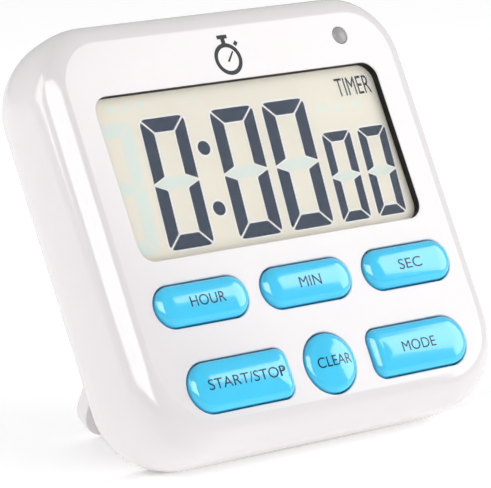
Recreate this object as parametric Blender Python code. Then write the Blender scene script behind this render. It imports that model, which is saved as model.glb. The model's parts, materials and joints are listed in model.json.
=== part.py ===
"""Square digital lab timer with six buttons and a fold-out stand, modelled piece by piece.

The pieces are drawn in the timer's own frame, in millimetres: x to the right, y into the
body from the front face, and z up the front face. The front face is the plane y = 0, and
the origin is the centre of the display window. An empty named timer_frame then leans that
frame back on the open stand, with the lowest edge at height 0 and the whole object centred.
"""
import math

import bmesh
import bpy
from mathutils import Matrix, Vector

MM = 0.001
GAP = 0.3                      # clearance between pieces that touch

# Body
HALF_WIDTH = 40.0
TOP = 28.4
BOTTOM = -47.86
THICKNESS = 20.0
CORNER_RADIUS = 13.1
CORNER_STEPS = 6
WALL = 2.0
LEAN = math.radians(28.1)

# Front shoulder: the rounding between the flat face and the side
SHOULDER_DEPTH = 9.0
SHOULDER_IN_SIDE = 4.65
SHOULDER_IN_TOP = 4.3
SHOULDER_IN_BOTTOM = 5.2
SHOULDER_START = math.radians(7.4)
SHOULDER_WEIGHT = 1.28
FACE_RADIUS_TOP = 8.3
FACE_RADIUS_BOTTOM = 11.5

# Rear rounding, a quarter ellipse, and the joint between shell and cover
BACK_IN = 7.95
BACK_DEPTH = THICKNESS - SHOULDER_DEPTH
SHELL_END = 16.2
COVER_START = SHELL_END + GAP
COVER_FLOOR = THICKNESS - 1.8
TONGUE_END = 14.5
TONGUE_WALL = 1.2
LAND_HALF = 0.6                # half depth of the flat strip that rests on the table
BOSS_ROOT = 1.5                # depth where the screw posts start inside the face
THROUGH = 4.0                  # depth that clears the face wall

# Display
WINDOW_HALF = 31.0
WINDOW_HIGH = 14.55
WINDOW_RADIUS = 3.0
LIP = 0.7
SEAT_HALF, SEAT_HIGH = 34.3, 16.9
LENS_OVERLAP = 1.6
FRAME_HALF, FRAME_HIGH = 34.1, 16.7
LENS_FRONT, LENS_BACK = 0.9, 1.3
FRAME_FRONT, FRAME_BACK = 1.5, 1.9
GLASS_FRONT, GLASS_STEP, GLASS_BACK = 2.1, 3.3, 4.7
GLASS_HALF = 33.2
GLASS_TOP, GLASS_BOTTOM, GLASS_LEDGE = 16.2, -16.9, -14.8
ZEBRA_HALF, ZEBRA_GAP = 29.0, 0.2
BACKPLATE_FRONT, BACKPLATE_BACK = 5.0, 6.1

# Buttons: the rise above the face, and the flange and stem behind it
BUTTON_RISE = 1.3
BUTTON_FIT = 0.3
FLANGE_FRONT, FLANGE_BACK = 2.3, 3.3
FLANGE_OUT = 0.9
STEM_RADIUS, STEM_END = 1.5, 4.8
PILL_WIDE, PILL_HIGH = 19.2, 7.0
PILL_PITCH, PILL_MIDDLE = 22.6, 0.8
PILL_ROW = -22.57
LOW_ROW = -36.9
CLEAR_RADIUS = 5.2
CLEAR_X, CLEAR_Z = 0.45, -36.85
BAR_WIDE, BAR_HIGH = 21.2, 8.5
START_X, MODE_X = -19.15, 20.3
BAR_CORNER = 2.1

# Keypad and circuit board
CONTACT_RADIUS = 1.8
CONTACT_FRONT, CONTACT_BACK = 5.0, 6.1
MEMBRANE_FRONT, MEMBRANE_BACK = 5.8, 6.7
MEMBRANE_HALF, MEMBRANE_TOP, MEMBRANE_BOTTOM = 28.9, -17.9, -42.2
BOARD_FRONT, BOARD_BACK = 7.0, 8.2
BOARD_HALF = 30.2
BOARD_TOP, BOARD_BOTTOM = -14.6, -43.0
BOARD_SCREWS = [(-12.6, -29.3), (12.6, -29.3)]
BOARD_BOSS_RADIUS, BOARD_PILOT_RADIUS, BOARD_PILOT_END = 1.7, 0.9, 3.0
BOARD_SCREW_HEAD, BOARD_SCREW_SHANK, BOARD_SCREW_TIP = 1.3, 0.6, 3.6
PART_BASE = BOARD_BACK + GAP   # depth where the components stand on the board

# Cover screws
COVER_SCREWS = [(-29.6, 19.6), (29.6, 19.6), (-31.4, -29.3), (31.4, -29.3)]
COVER_BOSS_RADIUS = 2.0
COVER_BOSS_END = 14.2
WELL_RADIUS, WELL_FRONT, WELL_SEAT = 2.9, 14.6, 16.8
SCREW_HEAD_RADIUS, SCREW_HEAD_HIGH = 1.6, 1.2
SCREW_SHANK_RADIUS, SCREW_TIP = 0.85, 9.0
PILOT_RADIUS = 1.15

# Batteries: two AAA cells lying side by side
CELL_RADIUS = 5.15
CELL_BODY = 43.7
CELL_NUB_RADIUS, CELL_NUB = 1.9, 0.8
CELL_DEPTH = 13.2
CELL_ROWS = (4.3, -6.6)
TUB_HALF, TUB_TOP, TUB_BOTTOM = 26.0, 9.9, -12.2
TUB_FLOOR, TUB_FLOOR_THICK, TUB_WALL = 7.8, 1.0, 2.0
DOOR_OUT, DOOR_CORNER = 1.2, 1.4
DOOR_FRONT = 18.8
DOOR_RIB_HALF, DOOR_RIB = 20.0, 1.4
GRIP_COUNT, GRIP_PITCH, GRIP_WIDE, GRIP_HALF, GRIP_DEPTH = 3, 1.6, 0.7, 6.0, 0.4
PLATE_FRONT, PLATE_BACK, PLATE_HALF, PLATE_THICK = 9.2, 17.2, 3.8, 0.3
PLATE_FIT = 0.2
TAB_FRONT, TAB_BACK, TAB_HALF, TAB_OUT = 13.0, 14.6, 0.15, 1.4
SPRING_WIRE, SPRING_TURNS, SPRING_WIDE, SPRING_NARROW = 0.28, 3, 3.4, 1.8

# Stand, in the pose where it is folded into the pocket of the rear cover
STAND_HALF = 27.9
STAND_AXIS_Y, STAND_AXIS_Z = 18.0, -20.3
STAND_TIP = -44.15
STAND_FRONT, STAND_BACK = 16.8, THICKNESS - 0.2
STAND_CORNER = 6.7
STAND_BARREL = 1.7
STAND_PIN_RADIUS, STAND_PIN = 1.0, 1.2
POCKET_HALF = STAND_HALF + 0.4
POCKET_TOP, POCKET_END = STAND_AXIS_Z + STAND_BARREL + GAP, -43.4
POCKET_FLOOR = 16.45
POCKET_WALL = 1.6
HINGE_FLOOR, HINGE_END = 15.9, STAND_AXIS_Z - 3.0

# Magnets, lamp, sounder and wires
WIRE_RADIUS = 0.45
MAGNET_PLACES = [(-14.0, 16.2), (14.0, 16.2)]
MAGNET_RADIUS, MAGNET_THICK, MAGNET_FIT, MAGNET_WALL = 3.5, 3.0, 0.25, 1.1
MAGNET_SEAT_FRONT, MAGNET_SEAT_DEPTH = 15.6, 3.4
LAMP_X, LAMP_Z = 25.4, 19.95
LAMP_RADIUS, LAMP_RIM = 1.5, 2.4
SOUNDER_X, SOUNDER_Z, SOUNDER_RADIUS = 0.0, -33.5, 8.3
SOUNDER_BACK = POCKET_FLOOR - POCKET_WALL - 0.2
SOUNDER_PLATE, SOUNDER_CRYSTAL_RADIUS, SOUNDER_THICK = 0.5, 6.5, 0.8
SOUND_RING, SOUND_HOLE = 4.5, 0.8


# ---------------------------------------------------------------- materials
def make_material(name, colour, roughness, metallic=0.0, transmission=0.0):
    material = bpy.data.materials.new(name)
    material.use_nodes = True
    shader = material.node_tree.nodes["Principled BSDF"]
    shader.inputs["Base Color"].default_value = (*colour, 1.0)
    shader.inputs["Roughness"].default_value = roughness
    shader.inputs["Metallic"].default_value = metallic
    shader.inputs["Transmission Weight"].default_value = transmission
    material.diffuse_color = (*colour, 1.0)
    return material


def make_materials():
    return {
        "white_abs": make_material("white_abs", (0.88, 0.86, 0.86), 0.22),
        "blue_plastic": make_material("blue_plastic", (0.06, 0.52, 0.92), 0.2),
        "clear_plastic": make_material("clear_plastic", (0.95, 0.97, 0.97), 0.05, 0.0, 0.9),
        "black_plastic": make_material("black_plastic", (0.01, 0.01, 0.01), 0.45),
        "display": make_material("display", (0.80, 0.79, 0.68), 0.35),
        "grey_rubber": make_material("grey_rubber", (0.30, 0.31, 0.32), 0.7),
        "carbon": make_material("carbon", (0.03, 0.03, 0.03), 0.8),
        "board_green": make_material("board_green", (0.03, 0.22, 0.09), 0.45),
        "epoxy_black": make_material("epoxy_black", (0.02, 0.02, 0.02), 0.3),
        "steel": make_material("steel", (0.62, 0.62, 0.63), 0.3, 1.0),
        "nickel": make_material("nickel", (0.70, 0.68, 0.64), 0.25, 1.0),
        "brass": make_material("brass", (0.75, 0.56, 0.22), 0.3, 1.0),
        "lamp_grey": make_material("lamp_grey", (0.45, 0.45, 0.46), 0.25),
        "cell_wrap": make_material("cell_wrap", (0.10, 0.30, 0.22), 0.35),
        "wire_red": make_material("wire_red", (0.65, 0.04, 0.03), 0.4),
        "wire_black": make_material("wire_black", (0.02, 0.02, 0.02), 0.4),
    }


# ---------------------------------------------------------------- outlines
def rounded_outline(left, right, bottom, top, radii, steps=CORNER_STEPS):
    """Corner arcs of a rounded rectangle; radii run bottom left, bottom right, top right, top left."""
    corners = [
        (left, bottom, 1, 1, math.pi),
        (right, bottom, -1, 1, 1.5 * math.pi),
        (right, top, -1, -1, 0.0),
        (left, top, 1, -1, 0.5 * math.pi),
    ]
    points = []
    for (x, z, sx, sz, start), radius in zip(corners, radii):
        for i in range(steps + 1):
            angle = start + 0.5 * math.pi * i / steps
            centre_x = x + sx * radius
            centre_z = z + sz * radius
            points.append((centre_x + radius * math.cos(angle), centre_z + radius * math.sin(angle)))
    return points


def even_outline(x, z, half_x, half_z, radius, steps=CORNER_STEPS):
    return rounded_outline(x - half_x, x + half_x, z - half_z, z + half_z, [radius] * 4, steps)


def circle_outline(x, z, radius, steps=20):
    turns = [2 * math.pi * i / steps for i in range(steps)]
    return [(x + radius * math.cos(a), z + radius * math.sin(a)) for a in turns]


def shoulder_curve(t):
    """Share of the full shoulder inset, and depth, at t from 0 on the face to 1 on the side."""
    knee = SHOULDER_IN_SIDE * math.tan(SHOULDER_START)
    face, middle, side = (1 - t) ** 2, 2 * t * (1 - t) * SHOULDER_WEIGHT, t ** 2
    total = face + middle + side
    return face / total, (middle * knee + side * SHOULDER_DEPTH) / total


def back_inset(depth):
    share = (depth - SHOULDER_DEPTH) / BACK_DEPTH
    return BACK_IN * (1 - math.sqrt(max(0.0, 1 - share * share)))


def shoulder_outline(share, offset=0.0):
    """Outline of the body where the shoulder has the given share of its full inset."""
    side = SHOULDER_IN_SIDE * share + offset
    top_radius = CORNER_RADIUS + (FACE_RADIUS_TOP - CORNER_RADIUS) * share - offset
    low_radius = CORNER_RADIUS + (FACE_RADIUS_BOTTOM - CORNER_RADIUS) * share - offset
    return rounded_outline(
        side - HALF_WIDTH, HALF_WIDTH - side,
        BOTTOM + SHOULDER_IN_BOTTOM * share + offset, TOP - SHOULDER_IN_TOP * share - offset,
        [low_radius, low_radius, top_radius, top_radius])


def body_outline(inset):
    """Outline of the body behind the shoulder, moved in by the same amount all round."""
    radius = CORNER_RADIUS - inset
    return rounded_outline(inset - HALF_WIDTH, HALF_WIDTH - inset, BOTTOM + inset, TOP - inset, [radius] * 4)


def rest_place():
    """Depth and inset where the leaning body touches the table, at the slope of the table."""
    angle = math.atan(math.tan(LEAN) * BACK_DEPTH / BACK_IN)
    return SHOULDER_DEPTH + BACK_DEPTH * math.sin(angle), BACK_IN * (1 - math.cos(angle))


# ---------------------------------------------------------------- meshes
def new_piece(name, mesh, material):
    piece = bpy.data.objects.new(name, mesh)
    mesh.materials.append(material)
    bpy.context.scene.collection.objects.link(piece)
    return piece


def loft(name, rings, material):
    """A closed solid through rings of equal count, each a pair of an outline and its depth."""
    mesh = bpy.data.meshes.new(name)
    build = bmesh.new()
    loops = [[build.verts.new((x * MM, y * MM, z * MM)) for x, z in outline] for outline, y in rings]
    for one, two in zip(loops, loops[1:]):
        for i in range(len(one)):
            j = (i + 1) % len(one)
            build.faces.new((one[i], one[j], two[j], two[i]))
    build.faces.new(loops[0])
    build.faces.new(loops[-1])
    bmesh.ops.recalc_face_normals(build, faces=build.faces)
    build.to_mesh(mesh)
    build.free()
    return new_piece(name, mesh, material)


def prism(name, outline, front, back, material):
    return loft(name, [(outline, front), (outline, back)], material)


def block(name, low, high, material):
    outline = [(low[0], low[2]), (high[0], low[2]), (high[0], high[2]), (low[0], high[2])]
    return prism(name, outline, low[1], high[1], material)


def turned(name, profile, centre, axis, material, steps=16):
    """A solid turned about an axis from (distance along the axis, radius) pairs."""
    mesh = bpy.data.meshes.new(name)
    build = bmesh.new()
    loops = []
    for along, radius in profile:
        ring = []
        for i in range(steps):
            angle = 2 * math.pi * i / steps
            across = radius * math.cos(angle), radius * math.sin(angle)
            place = {"x": (along, *across), "y": (across[0], along, across[1])}[axis]
            ring.append(build.verts.new([MM * (c + p) for c, p in zip(centre, place)]))
        loops.append(ring)
    for one, two in zip(loops, loops[1:]):
        for i in range(steps):
            j = (i + 1) % steps
            build.faces.new((one[i], one[j], two[j], two[i]))
    build.faces.new(loops[0])
    build.faces.new(loops[-1])
    bmesh.ops.recalc_face_normals(build, faces=build.faces)
    build.to_mesh(mesh)
    build.free()
    return new_piece(name, mesh, material)


def combine(piece, tool, operation):
    """Apply a Boolean to a piece and remove the tool."""
    modifier = piece.modifiers.new("combine", "BOOLEAN")
    modifier.operation = operation
    modifier.object = tool
    modifier.solver = "EXACT"
    bpy.context.view_layer.update()
    evaluated = piece.evaluated_get(bpy.context.evaluated_depsgraph_get())
    mesh = bpy.data.meshes.new_from_object(evaluated)
    piece.modifiers.clear()
    old = piece.data
    materials = list(old.materials)
    piece.data = mesh
    mesh.materials.clear()
    mesh.materials.append(materials[0])
    mesh.polygons.foreach_set("material_index", [0] * len(mesh.polygons))
    bpy.data.meshes.remove(old)
    bpy.data.objects.remove(tool)
    mesh.name = piece.name


def cut(piece, tool):
    combine(piece, tool, "DIFFERENCE")


def add(piece, tool):
    combine(piece, tool, "UNION")


def tube(name, route, radius, material, samples=4, sides=6):
    """A round wire along a smooth curve through the route's points, with flat ends."""
    points = [Vector(p) for p in route]
    padded = [points[0] * 2 - points[1], *points, points[-1] * 2 - points[-2]]
    path = []
    for a, b, c, d in zip(padded, padded[1:], padded[2:], padded[3:]):
        for i in range(samples):
            t = i / samples
            path.append(0.5 * (2 * b + (c - a) * t + (2 * a - 5 * b + 4 * c - d) * t * t
                               + (3 * b - a - 3 * c + d) * t ** 3))
    path.append(points[-1])
    mesh = bpy.data.meshes.new(name)
    build = bmesh.new()
    loops = []
    normal = (path[1] - path[0]).orthogonal().normalized()
    for i, point in enumerate(path):
        ahead = path[min(i + 1, len(path) - 1)]
        behind = path[max(i - 1, 0)]
        along = (ahead - behind).normalized()
        normal = (normal - along * normal.dot(along)).normalized()
        side = along.cross(normal)
        ring = []
        for k in range(sides):
            angle = 2 * math.pi * k / sides
            offset = normal * math.cos(angle) + side * math.sin(angle)
            ring.append(build.verts.new((point + offset * radius) * MM))
        loops.append(ring)
    for one, two in zip(loops, loops[1:]):
        for k in range(sides):
            m = (k + 1) % sides
            build.faces.new((one[k], one[m], two[m], two[k]))
    build.faces.new(loops[0])
    build.faces.new(loops[-1])
    bmesh.ops.recalc_face_normals(build, faces=build.faces)
    build.to_mesh(mesh)
    build.free()
    return new_piece(name, mesh, material)


def set_origin(piece, point):
    """Move a piece's origin to a point of the timer frame, keeping its shape in place."""
    origin = Vector(point) * MM
    piece.data.transform(Matrix.Translation(-origin))
    piece.location = origin


# ---------------------------------------------------------------- housing
def outer_rings():
    """The body's outer surface from the face to the end of the shell."""
    rest_depth, rest_inset = rest_place()
    rise = LAND_HALF * math.tan(LEAN)
    rings = []
    for t in (0.0, 0.2, 0.4, 0.6, 0.8, 1.0):
        share, depth = shoulder_curve(t)
        rings.append((shoulder_outline(share), depth))
    rings.append((body_outline(back_inset(12.2)), 12.2))
    rings.append((body_outline(rest_inset - rise), rest_depth - LAND_HALF))
    rings.append((body_outline(rest_inset + rise), rest_depth + LAND_HALF))
    rings.append((body_outline(back_inset(SHELL_END)), SHELL_END))
    return rings


def inner_rings():
    """The shell's inner surface from its open end back to the face."""
    rings = []
    for depth in (SHELL_END, 13.5):
        rings.append((body_outline(back_inset(depth) + WALL), depth))
    for depth, share in ((SHOULDER_DEPTH, 0.0), (5.0, 0.07), (3.2, 0.2), (WALL, 0.45)):
        rings.append((shoulder_outline(share, WALL), depth))
    return rings


def make_front_shell(paint):
    white = paint["white_abs"]
    shell = loft("front_shell", outer_rings() + inner_rings(), white)
    window = even_outline(0, 0, WINDOW_HALF, WINDOW_HIGH, WINDOW_RADIUS)
    cut(shell, prism("cut", window, -1, THROUGH, white))
    cut(shell, prism("cut", even_outline(0, 0, SEAT_HALF, SEAT_HIGH, 2.0, 3), LIP, THROUGH, white))
    for _, kind, x, z in BUTTONS:
        cut(shell, prism("cut", button_outline(kind, x, z, BUTTON_FIT), -1, THROUGH, white))
    cut(shell, prism("cut", circle_outline(LAMP_X, LAMP_Z, LAMP_RADIUS + 0.25), -1, THROUGH, white))
    for x, z in COVER_SCREWS:
        add_boss(shell, x, z, COVER_BOSS_RADIUS, COVER_BOSS_END, PILOT_RADIUS, SCREW_TIP - 1, white)
    for x, z in BOARD_SCREWS:
        add_boss(shell, x, z, BOARD_BOSS_RADIUS, BOARD_FRONT - GAP,
                 BOARD_PILOT_RADIUS, BOARD_PILOT_END, white)
    return [shell]


def add_boss(shell, x, z, radius, end, pilot_radius, pilot_end, white):
    """A round post behind the face with a blind screw hole in its end."""
    pilot = [(pilot_end, pilot_radius), (end + 1, pilot_radius)]
    add(shell, turned("boss", [(BOSS_ROOT, radius), (end, radius)], (x, 0, z), "y", white, 12))
    cut(shell, turned("pilot", pilot, (x, 0, z), "y", white, 10))


def make_rear_cover(paint):
    white = paint["white_abs"]
    rings = [(body_outline(back_inset(THICKNESS)), THICKNESS)]
    for depth in (19.85, 19.35, 18.2, COVER_START):
        rings.append((body_outline(back_inset(depth)), depth))
    tongue = back_inset(COVER_START) + WALL + GAP
    for inset, depth in ((tongue, COVER_START), (tongue, TONGUE_END),
                         (tongue + TONGUE_WALL, TONGUE_END), (tongue + TONGUE_WALL, COVER_FLOOR)):
        rings.append((body_outline(inset), depth))
    cover = loft("rear_cover", rings, white)

    # Battery tub, stand pocket, magnet seats and screw wells grow inward from the floor.
    reach = COVER_FLOOR + 0.4
    add(cover, block("tub", (-TUB_HALF - TUB_WALL, TUB_FLOOR - TUB_FLOOR_THICK, TUB_BOTTOM - TUB_WALL),
                     (TUB_HALF + TUB_WALL, reach, TUB_TOP + TUB_WALL), white))
    side = POCKET_HALF + POCKET_WALL
    under_tub = TUB_BOTTOM - 1.0
    add(cover, block("pocket", (-side, POCKET_FLOOR - POCKET_WALL, POCKET_END),
                     (side, reach, under_tub), white))
    add(cover, block("hinge_box", (-side, HINGE_FLOOR - POCKET_WALL, HINGE_END - POCKET_WALL),
                     (side, reach - 0.1, under_tub + 0.1), white))
    for x, z in MAGNET_PLACES:
        add(cover, turned("seat", [(MAGNET_SEAT_FRONT, MAGNET_RADIUS + MAGNET_WALL),
                                  (reach, MAGNET_RADIUS + MAGNET_WALL)], (x, 0, z), "y", white))
    for x, z in COVER_SCREWS:
        add(cover, turned("well", [(WELL_FRONT, WELL_RADIUS), (reach, WELL_RADIUS)], (x, 0, z), "y", white))

    # Openings from the back.
    beyond = THICKNESS + 2
    cut(cover, block("cut", (-TUB_HALF, TUB_FLOOR, TUB_BOTTOM), (TUB_HALF, beyond, TUB_TOP), white))
    ledge = even_outline(0, (TUB_TOP + TUB_BOTTOM) / 2, TUB_HALF + DOOR_OUT + GAP,
                         (TUB_TOP - TUB_BOTTOM) / 2 + DOOR_OUT + GAP, DOOR_CORNER + 0.2, 3)
    cut(cover, prism("cut", ledge, DOOR_FRONT - GAP, beyond, white))
    cut(cover, block("cut", (-POCKET_HALF, POCKET_FLOOR, BOTTOM - 5),
                     (POCKET_HALF, beyond, POCKET_TOP), white))
    cut(cover, block("cut", (-POCKET_HALF, HINGE_FLOOR, HINGE_END), (POCKET_HALF, beyond, POCKET_TOP), white))
    socket = STAND_HALF + STAND_PIN + 0.2
    cut(cover, turned("cut", [(-socket, STAND_PIN_RADIUS + GAP), (socket, STAND_PIN_RADIUS + GAP)],
                      (0, STAND_AXIS_Y, STAND_AXIS_Z), "x", white, 12))
    for x, z in MAGNET_PLACES:
        cut(cover, turned("cut", [(THICKNESS - MAGNET_SEAT_DEPTH, MAGNET_RADIUS + MAGNET_FIT),
                                 (beyond, MAGNET_RADIUS + MAGNET_FIT)], (x, 0, z), "y", white))
    for x, z in COVER_SCREWS:
        cut(cover, turned("cut", [(WELL_SEAT, SCREW_HEAD_RADIUS + GAP), (beyond, SCREW_HEAD_RADIUS + GAP)],
                          (x, 0, z), "y", white, 14))
        cut(cover, turned("cut", [(14.0, PILOT_RADIUS), (WELL_SEAT + 0.5, PILOT_RADIUS)],
                          (x, 0, z), "y", white, 10))
    for z in CELL_ROWS:
        cut(cover, block("cut", (TUB_HALF - 0.5, TAB_FRONT - GAP, z - TAB_HALF - GAP),
                         (TUB_HALF + TUB_WALL + 1, TAB_BACK + GAP, z + TAB_HALF + GAP), white))
    for angle in range(0, 360, 60):
        x = SOUNDER_X + SOUND_RING * math.cos(math.radians(angle))
        z = SOUNDER_Z + SOUND_RING * math.sin(math.radians(angle))
        hole = [(POCKET_FLOOR - POCKET_WALL - 1, SOUND_HOLE), (POCKET_FLOOR + 1, SOUND_HOLE)]
        cut(cover, turned("cut", hole, (x, 0, z), "y", white, 8))
    return [cover]


def make_battery_door(paint):
    white = paint["white_abs"]
    middle = (TUB_TOP + TUB_BOTTOM) / 2
    half = (TUB_TOP - TUB_BOTTOM) / 2 + DOOR_OUT
    outline = even_outline(0, middle, TUB_HALF + DOOR_OUT, half, DOOR_CORNER, 3)
    door = prism("battery_door", outline, DOOR_FRONT, THICKNESS, white)
    add(door, block("rib", (-DOOR_RIB_HALF, DOOR_FRONT - DOOR_RIB, middle - 0.5),
                    (DOOR_RIB_HALF, DOOR_FRONT + 0.4, middle + 0.5), white))
    for i in range(GRIP_COUNT):
        z = TUB_BOTTOM + 2.0 + GRIP_PITCH * i
        cut(door, block("grip", (-GRIP_HALF, THICKNESS - GRIP_DEPTH, z),
                        (GRIP_HALF, THICKNESS + 1, z + GRIP_WIDE), white))
    set_origin(door, (0, DOOR_FRONT, middle))
    return [door]


def stand_outline(inset):
    """Outline of the stand's plate, moved in from its sides and tip."""
    half, corner = STAND_HALF - inset, STAND_CORNER - inset
    return rounded_outline(-half, half, STAND_TIP + inset, STAND_AXIS_Z - 0.2, [corner, corner, 0.3, 0.3])


def make_stand(paint):
    """The fold-out stand: a plate with softened edges, a hinge barrel and two pins."""
    white = paint["white_abs"]
    rings = [(stand_outline(inset), depth) for inset, depth in (
        (0.2, STAND_FRONT), (0.0, STAND_FRONT + 0.2), (0.0, STAND_BACK - 0.25), (0.25, STAND_BACK))]
    stand = loft("stand", rings, white)
    axis = (0, STAND_AXIS_Y, STAND_AXIS_Z)
    pin = STAND_HALF + STAND_PIN
    for name, reach, radius in (("barrel", STAND_HALF, STAND_BARREL), ("pins", pin, STAND_PIN_RADIUS)):
        add(stand, turned(name, [(-reach, radius), (reach, radius)], axis, "x", white))
    hollow = rounded_outline(-STAND_HALF + 3.0, STAND_HALF - 3.0, STAND_TIP + 4.0, STAND_AXIS_Z - 3.4,
                             [4.0, 4.0, 0.8, 0.8], 3)
    cut(stand, prism("hollow", hollow, STAND_FRONT - 1, STAND_FRONT + 0.7, white))
    set_origin(stand, axis)
    return [stand]


def stand_open_angle(stand):
    """Angle from folded to open, where the lowest edge of the stand meets the table."""
    rest_depth, rest_inset = rest_place()
    table = (BOTTOM + rest_inset) * math.cos(LEAN) - rest_depth * math.sin(LEAN)
    axis_height = STAND_AXIS_Z * math.cos(LEAN) - STAND_AXIS_Y * math.sin(LEAN) - table
    edges = [(v.co.y / MM, v.co.z / MM) for v in stand.data.vertices]
    closed, level = math.radians(40), math.radians(85)
    for _ in range(40):
        angle = (closed + level) / 2
        turn = angle - LEAN
        lowest = min(y * math.sin(turn) + z * math.cos(turn) for y, z in edges)
        if axis_height + lowest < 0:
            closed = angle
        else:
            level = angle
    return level


# ---------------------------------------------------------------- display
def make_display(paint):
    black = paint["black_plastic"]
    lens_outline = even_outline(0, 0, WINDOW_HALF + LENS_OVERLAP, WINDOW_HIGH + LENS_OVERLAP, 2.0, 3)
    lens = prism("display_window", lens_outline, LENS_FRONT, LENS_BACK, paint["clear_plastic"])
    frame_outline = even_outline(0, 0, FRAME_HALF, FRAME_HIGH, 1.8, 3)
    frame = prism("display_frame", frame_outline, FRAME_FRONT, FRAME_BACK, black)
    cut(frame, prism("cut", even_outline(0, 0, WINDOW_HALF, WINDOW_HIGH, WINDOW_RADIUS), 0, THROUGH, black))
    glass = block("lcd_panel", (-GLASS_HALF, GLASS_FRONT, GLASS_BOTTOM),
                  (GLASS_HALF, GLASS_STEP, GLASS_TOP), paint["display"])
    add(glass, block("rear_glass", (-GLASS_HALF, GLASS_STEP - 0.2, GLASS_LEDGE),
                     (GLASS_HALF, GLASS_BACK, GLASS_TOP), paint["display"]))
    backplate = block("lcd_backplate", (-GLASS_HALF, BACKPLATE_FRONT, GLASS_LEDGE),
                      (GLASS_HALF, BACKPLATE_BACK, GLASS_TOP), black)
    zebra = block("zebra_connector", (-ZEBRA_HALF, GLASS_STEP + ZEBRA_GAP, GLASS_BOTTOM + GAP),
                  (ZEBRA_HALF, BOARD_FRONT - ZEBRA_GAP, GLASS_LEDGE - GAP), paint["grey_rubber"])
    return [lens, frame, glass, backplate, zebra]


# ---------------------------------------------------------------- buttons
def button_outline(kind, x, z, grow):
    """Outline of a button, grown outward by the given amount."""
    if kind == "pill":
        return even_outline(x, z, PILL_WIDE / 2 + grow, PILL_HIGH / 2 + grow, PILL_HIGH / 2 + grow - 0.01)
    if kind == "round":
        return even_outline(x, z, CLEAR_RADIUS + grow, CLEAR_RADIUS + grow, CLEAR_RADIUS + grow - 0.01)
    outer = BAR_HIGH / 2 + grow - 0.01
    inner = max(BAR_CORNER + grow, 0.4)
    radii = [outer, inner, inner, outer] if kind == "bar_left" else [inner, outer, outer, inner]
    half_x, half_z = BAR_WIDE / 2 + grow, BAR_HIGH / 2 + grow
    return rounded_outline(x - half_x, x + half_x, z - half_z, z + half_z, radii)


BUTTONS = [
    ("hour", "pill", PILL_MIDDLE - PILL_PITCH, PILL_ROW),
    ("minute", "pill", PILL_MIDDLE, PILL_ROW),
    ("second", "pill", PILL_MIDDLE + PILL_PITCH, PILL_ROW),
    ("start_stop", "bar_left", START_X, LOW_ROW),
    ("clear", "round", CLEAR_X, CLEAR_Z),
    ("mode", "bar_right", MODE_X, LOW_ROW),
]


def make_buttons(paint):
    """Each cap is crowned and rounded over its rim, with a flange and a stem behind the face."""
    blue = paint["blue_plastic"]
    crown = [(-2.1, -BUTTON_RISE), (-0.9, -BUTTON_RISE + 0.2), (-0.25, -BUTTON_RISE + 0.6),
             (0.0, -BUTTON_RISE + 1.1), (0.0, FLANGE_FRONT)]
    pieces = []
    for name, kind, x, z in BUTTONS:
        rings = [(button_outline(kind, x, z, grow), depth) for grow, depth in crown]
        flange = button_outline(kind, x, z, FLANGE_OUT)
        rings += [(flange, FLANGE_FRONT), (flange, FLANGE_BACK)]
        cap = loft("button_" + name, rings, blue)
        add(cap, turned("stem", [(FLANGE_BACK - 0.5, STEM_RADIUS), (STEM_END, STEM_RADIUS)],
                        (x, 0, z), "y", blue, 12))
        contact = turned("contact_" + name, [(CONTACT_FRONT, CONTACT_RADIUS),
                                             (CONTACT_BACK, CONTACT_RADIUS)],
                         (x, 0, z), "y", paint["carbon"], 12)
        set_origin(cap, (x, 0, z))
        set_origin(contact, (x, CONTACT_FRONT, z))
        pieces += [cap, contact]
    return pieces


# ---------------------------------------------------------------- electronics
def make_keypad(paint):
    rubber = paint["grey_rubber"]
    outline = rounded_outline(-MEMBRANE_HALF, MEMBRANE_HALF, MEMBRANE_BOTTOM, MEMBRANE_TOP,
                              [4.0, 4.0, 1.0, 1.0], 3)
    sheet = prism("keypad_membrane", outline, MEMBRANE_FRONT, MEMBRANE_BACK, rubber)
    holes = [(x, z, CONTACT_RADIUS + 0.6) for _, _, x, z in BUTTONS]
    holes += [(x, z, BOARD_BOSS_RADIUS + 0.4) for x, z in BOARD_SCREWS]
    for x, z, radius in holes:
        hole = [(MEMBRANE_FRONT - 1, radius), (MEMBRANE_BACK + 1, radius)]
        cut(sheet, turned("cut", hole, (x, 0, z), "y", rubber, 12))
    return [sheet]


def make_board(paint):
    green = paint["board_green"]
    outline = rounded_outline(-BOARD_HALF, BOARD_HALF, BOARD_BOTTOM, BOARD_TOP, [4.5, 4.5, 1.0, 1.0], 3)
    board = prism("main_board", outline, BOARD_FRONT, BOARD_BACK, green)
    holes = [(x, z, BOARD_SCREW_SHANK + 0.35) for x, z in BOARD_SCREWS]
    holes += [(x, z, COVER_BOSS_RADIUS + GAP) for x, z in COVER_SCREWS[2:]]
    for x, z, radius in holes:
        hole = [(BOARD_FRONT - 1, radius), (BOARD_BACK + 1, radius)]
        cut(board, turned("cut", hole, (x, 0, z), "y", green, 14))
    screw = [(PART_BASE + 1.0, BOARD_SCREW_HEAD), (PART_BASE, BOARD_SCREW_HEAD),
             (PART_BASE, BOARD_SCREW_SHANK), (BOARD_SCREW_TIP, BOARD_SCREW_SHANK)]
    screws = [turned("board_screw_%d" % number, screw, (x, 0, z), "y", paint["steel"], 10)
              for number, (x, z) in enumerate(BOARD_SCREWS, 1)]
    return [board] + make_components(paint) + screws


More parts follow.
